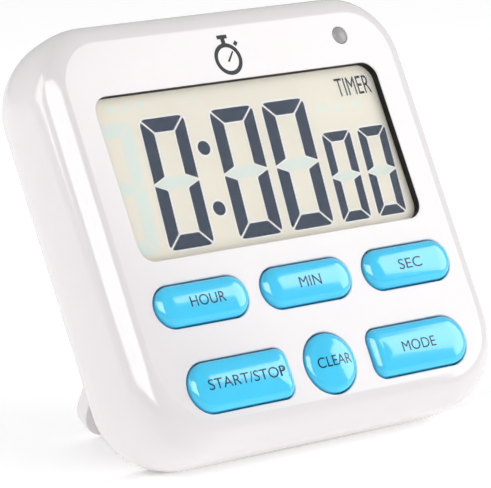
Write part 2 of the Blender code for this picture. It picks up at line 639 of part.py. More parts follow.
def make_components(paint):
    """What is soldered to the back of the board; profiles are heights above it with their radii."""
    standing = [
        ("controller_chip", -4.0, -22.0, "epoxy_black", [(0, 5.0), (0.8, 4.4), (1.4, 2.6), (1.6, 0.8)]),
        ("sounder_coil", 19.0, -37.0, "epoxy_black",
         [(0, 2.6), (0.9, 2.6), (0.9, 1.7), (3.4, 1.7), (3.4, 2.6), (4.2, 2.6)]),
        ("smoothing_capacitor", -20.0, -36.0, "steel", [(0, 2.0), (5.2, 2.0)]),
    ]
    pieces = [turned(name, profile, (x, PART_BASE, z), "y", paint[slot])
              for name, x, z, slot, profile in standing]
    pieces.append(turned("quartz_crystal", [(0, 1.0), (6.0, 1.0)], (6.0, PART_BASE + 1.0, -21.0), "x",
                         paint["steel"], 12))
    flat_side = rounded_outline(10.5, 14.5, -38.6, -35.4, [0.2, 0.2, 1.5, 1.5], 3)
    pieces.append(prism("drive_transistor", flat_side, PART_BASE, PART_BASE + 4.0, paint["epoxy_black"]))
    return pieces


def make_lamp_and_sounder(paint):
    """A domed lamp with a rim behind the face, and a brass disc with a crystal on its front."""
    rim = LAMP_RADIUS + GAP
    dome = [(-0.1, 0.5), (0.05, LAMP_RADIUS - 0.35), (0.4, LAMP_RADIUS), (LAMP_RIM, LAMP_RADIUS),
            (LAMP_RIM, rim), (LAMP_RIM + 1.0, rim)]
    lamp = turned("alarm_lamp", dome, (LAMP_X, 0, LAMP_Z), "y", paint["lamp_grey"], 20)
    plate = SOUNDER_BACK - SOUNDER_PLATE
    disc = [(SOUNDER_BACK - SOUNDER_THICK, SOUNDER_CRYSTAL_RADIUS), (plate, SOUNDER_CRYSTAL_RADIUS),
            (plate, SOUNDER_RADIUS), (SOUNDER_BACK, SOUNDER_RADIUS)]
    sounder = turned("sounder_disc", disc, (SOUNDER_X, 0, SOUNDER_Z), "y", paint["brass"], 24)
    return [lamp, sounder]


def make_cover_screws(paint):
    seat = WELL_SEAT + 0.15
    profile = [(seat + SCREW_HEAD_HIGH, SCREW_HEAD_RADIUS * 0.75),
               (seat + SCREW_HEAD_HIGH * 0.6, SCREW_HEAD_RADIUS), (seat, SCREW_HEAD_RADIUS),
               (seat, SCREW_SHANK_RADIUS), (SCREW_TIP, SCREW_SHANK_RADIUS)]
    return [turned("cover_screw_%d" % number, profile, (x, 0, z), "y", paint["steel"], 14)
            for number, (x, z) in enumerate(COVER_SCREWS, 1)]


def make_magnets(paint):
    back = THICKNESS - 0.1
    profile = [(back - MAGNET_THICK, MAGNET_RADIUS), (back, MAGNET_RADIUS)]
    return [turned("magnet_%d" % number, profile, (x, 0, z), "y", paint["nickel"], 20)
            for number, (x, z) in enumerate(MAGNET_PLACES, 1)]


# ---------------------------------------------------------------- batteries and wires
def make_battery(paint):
    """Two cells in series, head to tail, held between sprung contacts."""
    pieces = []
    head = TUB_HALF - 0.7
    for number, (z, way) in enumerate(zip(CELL_ROWS, (1, -1)), 1):
        nub, rim, foot = way * head, way * (head - CELL_NUB), way * (head - CELL_NUB - CELL_BODY)
        cell = turned("battery_cell_%d" % number,
                      [(nub, CELL_NUB_RADIUS), (rim, CELL_NUB_RADIUS), (rim, CELL_RADIUS - 0.4),
                       (rim - way * 0.5, CELL_RADIUS), (foot, CELL_RADIUS)],
                      (0, CELL_DEPTH, z), "x", paint["cell_wrap"], 20)
        pieces.append(cell)
        name = "spring_bridge" if number == 1 else "spring_negative"
        pieces.append(make_spring(name, foot - way * 0.4, -way * (TUB_HALF - 0.9), z, paint))
    return pieces + make_contacts(paint)


def make_contacts(paint):
    """The bridge at one end of the cells, and two plates with tabs through the wall at the other."""
    nickel = paint["nickel"]
    outer = TUB_HALF - PLATE_FIT
    inner = outer - PLATE_THICK
    pieces = [block("contact_bridge", (-outer, PLATE_FRONT, CELL_ROWS[1] - PLATE_HALF),
                    (-inner, PLATE_BACK, CELL_ROWS[0] + PLATE_HALF), nickel)]
    for name, z in (("contact_positive", CELL_ROWS[0]), ("contact_negative", CELL_ROWS[1])):
        contact = block(name, (inner, PLATE_FRONT, z - PLATE_HALF),
                        (outer, PLATE_BACK, z + PLATE_HALF), nickel)
        add(contact, block("tab", (inner + 0.1, TAB_FRONT, z - TAB_HALF),
                           (TUB_HALF + TUB_WALL + TAB_OUT, TAB_BACK, z + TAB_HALF), nickel))
        pieces.append(contact)
    return pieces


def make_spring(name, start, end, z, paint):
    """A conical contact spring between a cell's flat end and its contact plate."""
    per_turn = 8
    steps = SPRING_TURNS * per_turn
    route = []
    for i in range(steps + 1):
        share = i / steps
        radius = SPRING_NARROW + (SPRING_WIDE - SPRING_NARROW) * share
        angle = 2 * math.pi * i / per_turn
        route.append((start + (end - start) * share,
                      CELL_DEPTH + radius * math.cos(angle), z + radius * math.sin(angle)))
    return tube(name, route, SPRING_WIRE, paint["nickel"], 1, 5)


def make_wires(paint):
    board = BOARD_BACK + 0.8
    routes = {
        "battery_wire_red": ((28.9, 13.8, 5.1), (30.6, 12.4, 4.0), (32.2, 10.5, -4.0), (32.4, 9.6, -11.0),
                             (31.2, 9.1, -15.0), (29.0, board, -16.8)),
        "battery_wire_black": ((28.9, 13.8, -7.4), (29.7, 12.4, -9.5), (29.5, 10.8, -12.5),
                               (28.2, 9.8, -15.4), (25.6, 9.1, -17.4), (23.5, board, -19.0)),
        "lamp_wire_red": ((26.2, 4.3, 20.3), (26.6, 6.6, 19.0), (28.4, 7.8, 16.4), (32.6, 8.4, 13.5),
                          (35.6, 8.8, 6.0), (35.8, 9.0, -10.0), (35.6, 9.0, -24.0), (34.9, board, -31.5),
                          (31.0, board, -34.0), (27.5, board, -33.4)),
        "lamp_wire_black": ((24.5, 4.3, 19.6), (24.6, 6.8, 18.6), (27.0, 8.6, 15.6), (32.0, 9.8, 12.6),
                            (34.4, 10.2, 5.0), (34.5, 10.4, -10.0), (34.6, 10.4, -24.0), (33.8, 10.2, -33.0),
                            (30.5, 9.4, -36.4), (27.0, board, -36.2)),
        "sounder_wire_red": ((8.0, 13.9, -33.0), (9.0, 12.0, -32.0), (9.0, 10.2, -30.5), (8.5, board, -28.5)),
        "sounder_wire_black": ((-5.0, 13.6, -35.0), (-7.5, 11.8, -34.0), (-8.5, 10.0, -31.5),
                               (-7.5, board, -29.5)),
    }
    return [tube(name, route, WIRE_RADIUS, paint["wire_red" if name.endswith("red") else "wire_black"])
            for name, route in routes.items()]


# ---------------------------------------------------------------- assembly
def lean_and_centre(pieces, stand):
    """Parent the pieces to the leaning frame, open the stand and put the object on the table."""
    frame = bpy.data.objects.new("timer_frame", None)
    bpy.context.scene.collection.objects.link(frame)
    for piece in pieces:
        piece.parent = frame
    stand.rotation_euler = (stand_open_angle(stand), 0, 0)
    frame.rotation_euler = (-LEAN, 0, 0)
    bpy.context.view_layer.update()
    corners = [piece.matrix_world @ vertex.co for piece in pieces for vertex in piece.data.vertices]
    low = Vector([min(c[i] for c in corners) for i in range(3)])
    high = Vector([max(c[i] for c in corners) for i in range(3)])
    frame.location = (-(low.x + high.x) / 2, -(low.y + high.y) / 2, -low.z)


def main():
    for piece in list(bpy.data.objects):
        bpy.data.objects.remove(piece)
    paint = make_materials()
    stand = make_stand(paint)
    pieces = make_front_shell(paint) + make_rear_cover(paint) + make_battery_door(paint) + stand
    for make in (make_display, make_buttons, make_keypad, make_board, make_lamp_and_sounder,
                 make_cover_screws, make_magnets, make_battery, make_wires):
        pieces += make(paint)
    for piece in pieces:
        piece.data.shade_smooth()
        piece.data.set_sharp_from_angle(angle=math.radians(30))
    lean_and_centre(pieces, stand[0])


main()
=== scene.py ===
"""Looks of the digital lab timer: fine surfaces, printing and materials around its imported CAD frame.

Pieces are drawn in the timer's own axes, in millimetres: x to the right, y into the body from
its front face and z up the face, with the origin in the middle of the display window. The frame's
nodes and joints give the place and the lean of those axes.
"""
import json
import math

import bmesh
import bpy
from mathutils import Matrix, Vector
from mathutils.geometry import delaunay_2d_cdt


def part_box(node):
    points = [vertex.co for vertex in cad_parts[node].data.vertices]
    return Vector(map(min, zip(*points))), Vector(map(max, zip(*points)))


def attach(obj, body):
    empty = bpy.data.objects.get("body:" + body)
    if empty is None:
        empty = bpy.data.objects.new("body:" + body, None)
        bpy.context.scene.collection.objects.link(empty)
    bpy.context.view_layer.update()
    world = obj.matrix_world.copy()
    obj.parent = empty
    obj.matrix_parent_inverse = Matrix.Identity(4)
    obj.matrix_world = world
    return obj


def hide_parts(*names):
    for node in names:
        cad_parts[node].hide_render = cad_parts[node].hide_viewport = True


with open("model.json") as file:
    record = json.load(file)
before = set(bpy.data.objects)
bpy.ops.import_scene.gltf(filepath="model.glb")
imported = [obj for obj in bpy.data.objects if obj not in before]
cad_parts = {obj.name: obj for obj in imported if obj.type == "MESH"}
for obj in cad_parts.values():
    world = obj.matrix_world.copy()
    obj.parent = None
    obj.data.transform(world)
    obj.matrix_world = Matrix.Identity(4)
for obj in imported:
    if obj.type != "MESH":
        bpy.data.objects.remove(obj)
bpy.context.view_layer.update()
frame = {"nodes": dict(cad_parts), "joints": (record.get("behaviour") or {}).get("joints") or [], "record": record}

MM = 0.001
GAP = 0.3

# Body, as in the CAD
BACK_IN = 7.95
SHOULDER_DEPTH = 9.0
SHOULDER_IN_SIDE, SHOULDER_IN_TOP, SHOULDER_IN_BOTTOM = 4.65, 4.3, 5.2
SHOULDER_START = math.radians(7.4)
SHOULDER_WEIGHT = 1.28
FACE_RADIUS_TOP, FACE_RADIUS_BOTTOM = 8.3, 11.5
CORNER_RADIUS = 13.1
CORNER_STEPS = 16
WALL = 2.0
SHELL_END = 16.2
COVER_START = SHELL_END + GAP
LAND_HALF = 0.6
LENS_MIDDLE = 1.1

# Display
WINDOW_HALF, WINDOW_HIGH, WINDOW_RADIUS = 31.0, 14.55, 3.0
LIP = 0.2
FRAME_ROOM_SIDE, FRAME_ROOM_HIGH = 3.4, 2.6
WINDOW_EDGE = 0.15
LENS_FRONT, LENS_BACK = 0.95, 1.25
GLASS_FRONT, GLASS_BACK = 1.65, 4.7
INK = 0.02

# Buttons
BUTTON_RISE = 1.3
BUTTON_FIT = 0.3
PILL_WIDE, PILL_HIGH = 19.2, 7.0
BAR_WIDE, BAR_HIGH, BAR_CORNER = 21.2, 8.5, 2.1
CLEAR_RADIUS = 5.2
CAP_EDGE = 1.35
END_DROP = 0.5
CROWN_ACROSS = 0.034
CLEAR_DOME = 0.7
CLEAR_APEX = 0.9
CAP_STEPS = 8
BUTTON_HOLE_EDGE = 0.2
LAMP_RADIUS = 1.5
LAMP_FIT, LAMP_HOLE_EDGE = 0.1, 0.1
LAMP_FLANGE_FRONT, LAMP_BACK = 2.4, 3.4

# Rear cover, as in the CAD
TONGUE_START, TONGUE_WALL = 14.5, 1.2
TUB_HALF, TUB_BOTTOM, TUB_TOP, TUB_WALL = 26.0, -12.2, 9.9, 2
TUB_FRONT, TUB_FLOOR = 6.8, 7.8
POCKET_WALL_FRONT, POCKET_FLOOR, POCKET_END = 14.85, 16.45, -43.4
HINGE_WALL_FRONT, HINGE_FLOOR = 14.3, 15.9
POCKET_HALF, POCKET_SIDE = 28.3, 29.9
MAGNETS = ("magnet_1", "magnet_2")
MAGNET_BOSS_FRONT, MAGNET_BOSS_RADIUS = 15.6, 4.6
MAGNET_SEAT_FRONT, MAGNET_SEAT_RADIUS = 16.6, 3.7
COVER_SCREWS = ("cover_screw_1", "cover_screw_2", "cover_screw_3", "cover_screw_4")
SCREW_BOSS_FRONT, SCREW_BOSS_RADIUS = 14.6, 2.9
SCREW_SEAT_FRONT, SCREW_SEAT_RADIUS = 16.8, 1.95
PIN_SOCKET_HALF, PIN_SOCKET_RADIUS = 29.3, 1.3
SOUND_HOLE_RADIUS = 0.55

# Stand, as in the CAD
STAND_HALF, STAND_CORNER, STAND_FRONT = 27.9, 6.7, 16.8
STAND_REACH = 23.85


# ---------------------------------------------------------------- the timer's own axes
def joint(name):
    return next(j for j in frame["joints"] if j["name"] == name)


def middle_of(node):
    low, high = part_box(node)
    return (low + high) / 2


INWARD = Vector(joint("hour_press")["axis"]).normalized()
RIGHT = Vector((1, 0, 0))
UP_FACE = RIGHT.cross(INWARD)
LEAN = math.atan2(-INWARD.z, INWARD.y)
ORIGIN = middle_of("display_window") - INWARD * LENS_MIDDLE * MM
AXES = Matrix((RIGHT, INWARD, UP_FACE)).transposed().to_4x4()
TO_WORLD = Matrix.Translation(ORIGIN) @ AXES @ Matrix.Scale(MM, 4)
TO_TIMER = TO_WORLD.inverted()
STAND_AXIS = TO_TIMER @ Vector(joint("stand_hinge")["pos_m"])


def in_timer(node):
    """A CAD node's extent in the timer's own axes, in millimetres."""
    points = [TO_TIMER @ v.co for v in frame["nodes"][node].data.vertices]
    low = Vector([min(p[i] for p in points) for i in range(3)])
    high = Vector([max(p[i] for p in points) for i in range(3)])
    return low, high


def on_face(node):
    """Where a CAD node's middle lies across and up the face."""
    low, high = in_timer(node)
    return (low.x + high.x) / 2, (low.z + high.z) / 2


SHELL_LOW, SHELL_HIGH = in_timer("front_shell")
HALF_WIDTH = (SHELL_HIGH.x - SHELL_LOW.x) / 2
TOP, BOTTOM = SHELL_HIGH.z, SHELL_LOW.z
THICKNESS = in_timer("rear_cover")[1].y
BACK_DEPTH = THICKNESS - SHOULDER_DEPTH
COVER_FLOOR = THICKNESS - 1.8
BEYOND = THICKNESS + 2


# ---------------------------------------------------------------- materials
def linear(value):
    share = value / 255
    return share / 12.92 if share <= 0.04045 else ((share + 0.055) / 1.055) ** 2.4


def colour(red, green, blue):
    return (linear(red), linear(green), linear(blue), 1.0)


def scaled(rgba, factor):
    return (*[min(1.0, c * factor) for c in rgba[:3]], 1.0)


class Nodes:
    """A short way to write a material's node tree."""

    def __init__(self, name):
        self.material = bpy.data.materials.new(name)
        self.material.use_nodes = True
        self.tree = self.material.node_tree
        self.shader = self.tree.nodes["Principled BSDF"]
        place = self.add("ShaderNodeTexCoord")
        self.place = place.outputs["Object"]

    def add(self, kind, **settings):
        node = self.tree.nodes.new(kind)
        for key, value in settings.items():
            setattr(node, key, value)
        return node

    def link(self, out, into):
        self.tree.links.new(out, into)

    def noise(self, scale, detail=3.0, rough=0.55):
        node = self.add("ShaderNodeTexNoise")
        node.inputs["Scale"].default_value = scale
        node.inputs["Detail"].default_value = detail
        node.inputs["Roughness"].default_value = rough
        self.link(self.place, node.inputs["Vector"])
        return node.outputs["Fac"]

    def ramp(self, factor, stops):
        node = self.add("ShaderNodeValToRGB")
        while len(node.color_ramp.elements) < len(stops):
            node.color_ramp.elements.new(0.5)
        for element, (position, rgba) in zip(node.color_ramp.elements, stops):
            element.position = position
            element.color = rgba
        self.link(factor, node.inputs["Fac"])
        return node.outputs["Color"]

    def span(self, factor, low, high):
        node = self.add("ShaderNodeMapRange")
        node.inputs["To Min"].default_value = low
        node.inputs["To Max"].default_value = high
        self.link(factor, node.inputs["Value"])
        return node.outputs["Result"]

    def bump(self, height, strength, distance):
        node = self.add("ShaderNodeBump")
        node.inputs["Strength"].default_value = strength
        node.inputs["Distance"].default_value = distance
        self.link(height, node.inputs["Height"])
        self.link(node.outputs["Normal"], self.shader.inputs["Normal"])


# Noise scales of a moulded surface, and the height of its ripple in metres
MOTTLE, UNEVEN, GRAIN = 140.0, 260.0, 900.0
RIPPLE = 0.00005


def moulded(name, base, roughness, vary=0.012, peel=0.05, metallic=0.0, coat=0.0, specular=0.5):
    """Moulded plastic, rubber or plated metal: faint mottling, uneven gloss and a fine surface ripple."""
    m = Nodes(name)
    low, high = scaled(base, 1 - vary), scaled(base, 1 + vary)
    m.link(m.ramp(m.noise(MOTTLE), [(0.3, low), (0.7, high)]), m.shader.inputs["Base Color"])
    gloss = m.span(m.noise(UNEVEN, 4.0), roughness * 0.85, roughness * 1.15)
    m.link(gloss, m.shader.inputs["Roughness"])
    m.bump(m.noise(GRAIN, 2.0), peel, RIPPLE)
    m.shader.inputs["Metallic"].default_value = metallic
    m.shader.inputs["Coat Weight"].default_value = coat
    m.shader.inputs["Specular IOR Level"].default_value = specular
    return m.material


def clear_material():
    """Thin clear acrylic: light passes straight through and the surface shines at low angles."""
    m = Nodes("clear_acrylic")
    clear = m.add("ShaderNodeBsdfTransparent")
    clear.inputs["Color"].default_value = (0.99, 0.985, 0.985, 1.0)
    gloss = m.add("ShaderNodeBsdfGlossy")
    gloss.inputs["Color"].default_value = (1.0, 1.0, 1.0, 1.0)
    m.link(m.span(m.noise(300.0), 0.02, 0.05), gloss.inputs["Roughness"])
    fresnel = m.add("ShaderNodeFresnel")
    fresnel.inputs["IOR"].default_value = 1.13
    mix = m.add("ShaderNodeMixShader")
    m.link(fresnel.outputs["Fac"], mix.inputs["Fac"])
    m.link(clear.outputs["BSDF"], mix.inputs[1])
    m.link(gloss.outputs["BSDF"], mix.inputs[2])
    out = next(n for n in m.tree.nodes if n.type == "OUTPUT_MATERIAL")
    m.link(mix.outputs["Shader"], out.inputs["Surface"])
    return m.material


def make_materials():
    white = colour(230, 225.5, 226.5)
    return {
        "white": moulded("white_gloss_abs", white, 0.12, 0.006, 0.02),
        "blue": moulded("sky_blue_gloss", colour(62, 206, 250), 0.12, 0.02, 0.02, coat=0.4),
        "legend": moulded("legend_ink", colour(16, 28, 50), 0.2, 0.05, 0.02, specular=0.35),
        "mark": moulded("mark_ink", colour(52, 56, 58), 0.4, 0.05, 0.05, specular=0.2),
        "clear": clear_material(),
        "black": moulded("black_satin", colour(20, 18, 18), 0.5, 0.05, 0.08, specular=0.2),
        "lcd": moulded("lcd_glass", colour(240, 237, 222), 0.5, 0.014, 0.04, specular=0.02),
        "lcd_dark": moulded("lcd_segment", colour(48, 62, 82), 0.5, 0.05, 0.04, specular=0.02),
        # The pale rim round the lit segments is painted shade: it stands for the segments' parallax shadow on the
        # display's rear reflector.
        "lcd_painted_shadow_fringe": moulded("lcd_painted_shadow_fringe", colour(250, 252, 249), 0.5, 0.01, 0.04, specular=0.02),
        "lcd_ghost": moulded("lcd_ghost", colour(226, 238, 231), 0.5, 0.015, 0.04, specular=0.02),
        "lcd_faint": moulded("lcd_faint", colour(238, 243, 232), 0.5, 0.015, 0.04, specular=0.02),
        "lamp": moulded("lamp_lens", colour(160, 158, 159), 0.25, 0.04, 0.03),
        "rubber": moulded("grey_rubber", colour(150, 152, 154), 0.7, 0.04, 0.3),
        "carbon": moulded("carbon_pill", colour(40, 40, 42), 0.8, 0.08, 0.3),
        "board": moulded("board_green", colour(30, 110, 60), 0.35, 0.06, 0.15, coat=0.3),
        "epoxy": moulded("black_epoxy", colour(22, 22, 24), 0.25, 0.08, 0.2),
        "steel": moulded("screw_steel", colour(190, 190, 194), 0.28, 0.04, 0.2, metallic=1.0),
        "nickel": moulded("bright_nickel", colour(205, 202, 196), 0.2, 0.03, 0.1, metallic=1.0),
        "brass": moulded("sounder_brass", colour(205, 170, 95), 0.3, 0.05, 0.1, metallic=1.0),
        "wrap": moulded("cell_wrap", colour(40, 96, 78), 0.3, 0.04, 0.06),
        "red": moulded("red_wire", colour(190, 40, 34), 0.4, 0.04, 0.1),
        "jacket": moulded("black_wire", colour(34, 34, 36), 0.4, 0.05, 0.1),
    }


# ---------------------------------------------------------------- outlines
def rounded(left, right, bottom, top, radii, steps=CORNER_STEPS):
    """Corner arcs of a rounded rectangle; radii run bottom left, bottom right, top right, top left."""
    corners = [
        (left, bottom, 1, 1, math.pi),
        (right, bottom, -1, 1, 1.5 * math.pi),
        (right, top, -1, -1, 0.0),
        (left, top, 1, -1, 0.5 * math.pi),
    ]
    points = []
    for (x, z, sx, sz, start), radius in zip(corners, radii):
        radius = max(radius, 0.02)
        for i in range(steps + 1):
            angle = start + 0.5 * math.pi * i / steps
            across = x + sx * radius + radius * math.cos(angle)
            up = z + sz * radius + radius * math.sin(angle)
            points.append((across, up))
    return points


def even(x, z, half_x, half_z, radius, steps=CORNER_STEPS):
    return rounded(x - half_x, x + half_x, z - half_z, z + half_z, [radius] * 4, steps)


def rectangle(left, right, bottom, top):
    return [(left, bottom), (right, bottom), (right, top), (left, top)]


def circle(x, z, radius, steps=48):
    turns = [2 * math.pi * i / steps for i in range(steps)]
    return [(x + radius * math.cos(a), z + radius * math.sin(a)) for a in turns]


def shoulder_curve(t):
    knee = SHOULDER_IN_SIDE * math.tan(SHOULDER_START)
    face, middle, side = (1 - t) ** 2, 2 * t * (1 - t) * SHOULDER_WEIGHT, t ** 2
    total = face + middle + side
    return face / total, (middle * knee + side * SHOULDER_DEPTH) / total


def back_inset(depth):
    share = min(1.0, (depth - SHOULDER_DEPTH) / BACK_DEPTH)
    return BACK_IN * (1 - math.sqrt(1 - share * share))


def shoulder_outline(share, offset=0.0):
    side = SHOULDER_IN_SIDE * share + offset
    top_radius = CORNER_RADIUS + (FACE_RADIUS_TOP - CORNER_RADIUS) * share - offset
    low_radius = CORNER_RADIUS + (FACE_RADIUS_BOTTOM - CORNER_RADIUS) * share - offset
    return rounded(
        side - HALF_WIDTH, HALF_WIDTH - side,
        BOTTOM + SHOULDER_IN_BOTTOM * share + offset, TOP - SHOULDER_IN_TOP * share - offset,
        [low_radius, low_radius, top_radius, top_radius])


def body_outline(inset):
    radius = CORNER_RADIUS - inset
    return rounded(inset - HALF_WIDTH, HALF_WIDTH - inset, BOTTOM + inset, TOP - inset, [radius] * 4)


def rest_place():
    """Depth and inset where the leaning body touches the table, at the slope of the table."""
    angle = math.atan(math.tan(LEAN) * BACK_DEPTH / BACK_IN)
    return SHOULDER_DEPTH + BACK_DEPTH * math.sin(angle), BACK_IN * (1 - math.cos(angle))


def fillet(radius, steps=5):
    """(outward growth, depth) pairs of a rounded hole edge, from the face down into the hole."""
    angles = [0.5 * math.pi * i / steps for i in range(steps + 1)]
    return [(radius * (1 - math.sin(a)), radius * (1 - math.cos(a))) for a in angles]


# ---------------------------------------------------------------- mesh building
class Build:
    """Collects a mesh in the timer's axes and turns it into a piece of the scene."""

    def __init__(self):
        self.mesh = bmesh.new()

    def ring(self, outline, depth):
        depths = depth if isinstance(depth, list) else [depth] * len(outline)
        return [self.mesh.verts.new((x, y, z)) for (x, z), y in zip(outline, depths)]

    def bridge(self, one, two):
        for i in range(len(one)):
            j = (i + 1) % len(one)
            self.mesh.faces.new((one[i], one[j], two[j], two[i]))

    def skin(self, rings):
        """Faces through rings, each a pair of an outline and a depth; returns the first and last ring."""
        loops = [self.ring(outline, depth) for outline, depth in rings]
        for one, two in zip(loops, loops[1:]):
            self.bridge(one, two)
        return loops[0], loops[-1]

    def cap(self, loop):
        self.mesh.faces.new(loop)

    def fill(self, loops):
        """Flat faces between an outer loop, which comes first, and the loops of its holes."""
        corners = [vertex for loop in loops for vertex in loop]
        places = [Vector((vertex.co.x, vertex.co.z)) for vertex in corners]
        faces, start = [], 0
        for loop in loops:
            faces.append(list(range(start, start + len(loop))))
            start += len(loop)
        _, _, triangles, sources, _, owners = delaunay_2d_cdt(places, [], faces, 1, 1e-6)
        for triangle, owner in zip(triangles, owners):
            if owner == [0]:
                self.mesh.faces.new([corners[sources[i][0]] for i in triangle])

    def close(self, loops):
        """Faces from loop to loop, and over the first and the last."""
        for one, two in zip(loops, loops[1:]):
            self.bridge(one, two)
        self.cap(loops[0])
        self.cap(loops[-1])

    def solid(self, rings):
        first, last = self.skin(rings)
        self.cap(first)
        self.cap(last)

    def turned(self, profile, centre, axis="y", steps=40):
        """A solid turned about an axis from (distance along the axis, radius) pairs."""
        loops = []
        for along, radius in profile:
            ring = []
            for i in range(steps):
                angle = 2 * math.pi * i / steps
                across = radius * math.cos(angle), radius * math.sin(angle)
                offset = {"x": (along, *across), "y": (across[0], along, across[1])}[axis]
                ring.append(self.mesh.verts.new([c + o for c, o in zip(centre, offset)]))
            loops.append(ring)
        self.close(loops)

    def piece(self, name, material, smooth_angle=30.0, turn=None):
        bmesh.ops.recalc_face_normals(self.mesh, faces=self.mesh.faces)
        data = bpy.data.meshes.new(name)
        self.mesh.to_mesh(data)
        self.mesh.free()
        if turn is not None:
            data.transform(turn)
        data.transform(TO_WORLD)
        data.materials.append(material)
        obj = bpy.data.objects.new(name, data)
        bpy.context.scene.collection.objects.link(obj)
        smooth(obj, smooth_angle)
        return obj


def smooth(obj, angle=30.0):
    obj.data.shade_smooth()
    obj.data.set_sharp_from_angle(angle=math.radians(angle))


def apply_modifiers(obj):
    bpy.context.view_layer.update()
    evaluated = obj.evaluated_get(bpy.context.evaluated_depsgraph_get())
    data = bpy.data.meshes.new_from_object(evaluated)
    old = obj.data
    obj.modifiers.clear()
    obj.data = data
    data.name = obj.name
    bpy.data.meshes.remove(old)


def combine(obj, tool, operation):
    modifier = obj.modifiers.new("combine", "BOOLEAN")
    modifier.operation = operation
    modifier.object = tool
    modifier.solver = "EXACT"
    apply_modifiers(obj)
    while len(obj.data.materials) > 1:
        obj.data.materials.pop()
    bpy.data.objects.remove(tool)


def cut(obj, tool):
    combine(obj, tool, "DIFFERENCE")


def add(obj, tool):
    combine(obj, tool, "UNION")


def soften(obj, width, segments=2, angle=40.0):
    """Rounds the edges of a cut shape and keeps its flat faces flat in shading."""
    bevel = obj.modifiers.new("soften", "BEVEL")
    bevel.width = width * MM
    bevel.segments = segments
    bevel.limit_method = "ANGLE"
    bevel.angle_limit = math.radians(angle)
    bevel.use_clamp_overlap = True
    weighted = obj.modifiers.new("flats", "WEIGHTED_NORMAL")
    weighted.keep_sharp = True
    smooth(obj, 60.0)
    apply_modifiers(obj)


def prism(outline, front, back, material):
    build = Build()
    build.solid([(outline, front), (outline, back)])
    return build.piece("tool", material)


def box_tool(low, high, material):
    return prism(rectangle(low[0], high[0], low[2], high[2]), low[1], high[1], material)


def cylinder_tool(front, back, radius, x, z, material, steps=32):
    return prism(circle(x, z, radius, steps), front, back, material)


def hinge_tool(profile, steps, material):
    """A solid turned about the stand's hinge axis."""
    build = Build()
    build.turned(profile, (0, STAND_AXIS.y, STAND_AXIS.z), "x", steps)
    return build.piece("tool", material)


def finish_piece(obj, body, slot, *nodes):
    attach(obj, body)
    if nodes:
        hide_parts(*nodes)
    return obj


# ---------------------------------------------------------------- buttons
def button_outline(kind, x, z, grow):
    steps = CORNER_STEPS
    if kind == "pill":
        return even(x, z, PILL_WIDE / 2 + grow, PILL_HIGH / 2 + grow, PILL_HIGH / 2 + grow - 0.01, steps)
    if kind == "round":
        return even(x, z, CLEAR_RADIUS + grow, CLEAR_RADIUS + grow, CLEAR_RADIUS + grow - 0.01, steps)
    outer, inner = BAR_HIGH / 2 + grow - 0.01, max(BAR_CORNER + grow, 0.05)
    radii = [outer, inner, inner, outer] if kind == "bar_left" else [inner, outer, outer, inner]
    half_x, half_z = BAR_WIDE / 2 + grow, BAR_HIGH / 2 + grow
    return rounded(x - half_x, x + half_x, z - half_z, z + half_z, radii, steps)


KINDS = {"hour": "pill", "minute": "pill", "second": "pill",
         "start_stop": "bar_left", "clear": "round", "mode": "bar_right"}
LEGENDS = {"hour": "HOUR", "minute": "MIN", "second": "SEC",
           "start_stop": "START/STOP", "clear": "CLEAR", "mode": "MODE"}


def round_end(kind, side):
    """Length of the end of a cap that rolls down, on its left (-1) or right (1) side."""
    if kind == "pill":
        return PILL_HIGH / 2
    return BAR_HIGH / 2 if (kind == "bar_left") == (side < 0) else BAR_CORNER


def crown(kind, dx, dz):
    """How far the top of a cap falls away from its middle."""
    if kind == "round":
        return CLEAR_DOME * ((dx - CLEAR_APEX) ** 2 + dz * dz) / CLEAR_RADIUS ** 2
    half = (PILL_WIDE if kind == "pill" else BAR_WIDE) / 2
    end = round_end(kind, -1 if dx < 0 else 1)
    beyond = max(0.0, abs(dx) - half + end) / end
    drop = END_DROP * min(end, PILL_HIGH / 2) / (PILL_HIGH / 2)
    return CROWN_ACROSS * dz * dz + drop * beyond ** 2


def cap_rings(kind):
    """(growth, depth, share of the crown) of a cap's rings, from its rim to its middle."""
    rings = []
    for i in range(CAP_STEPS + 1):
        angle = 0.5 * math.pi * i / CAP_STEPS
        depth = -(BUTTON_RISE - CAP_EDGE) - CAP_EDGE * math.sin(angle)
        rings.append((-CAP_EDGE * (1 - math.cos(angle)), depth, i / CAP_STEPS))
    limit = {"pill": PILL_HIGH, "round": 2 * CLEAR_RADIUS}.get(kind, BAR_HIGH) / 2 - 0.1
    for i in range(1, CAP_STEPS + 1):
        rings.append((-CAP_EDGE - (limit - CAP_EDGE) * i / CAP_STEPS, -BUTTON_RISE, 1.0))
    return rings


def make_button(name, paint):
    """A crowned cap with a flange behind the face, and its legend."""
    kind = KINDS[name]
    x, z = on_face("button_" + name)
    build = Build()
    back = [(0.9, 3.3), (0.9, 2.3), (0.0, 2.3)]
    loops = [build.ring(button_outline(kind, x, z, grow), depth) for grow, depth in back]
    for grow, depth, share in cap_rings(kind):
        outline = button_outline(kind, x, z, grow)
        depths = [depth + share * crown(kind, px - x, pz - z) for px, pz in outline]
        loops.append(build.ring(outline, depths))
    build.close(loops)
    bmesh.ops.remove_doubles(build.mesh, verts=build.mesh.verts, dist=0.004)
    cap = build.piece("cap_" + name, paint["blue"], 50.0)
    finish_piece(cap, name + "_key", "blue_plastic", "button_" + name)
    make_legend(name, kind, x, z, paint)


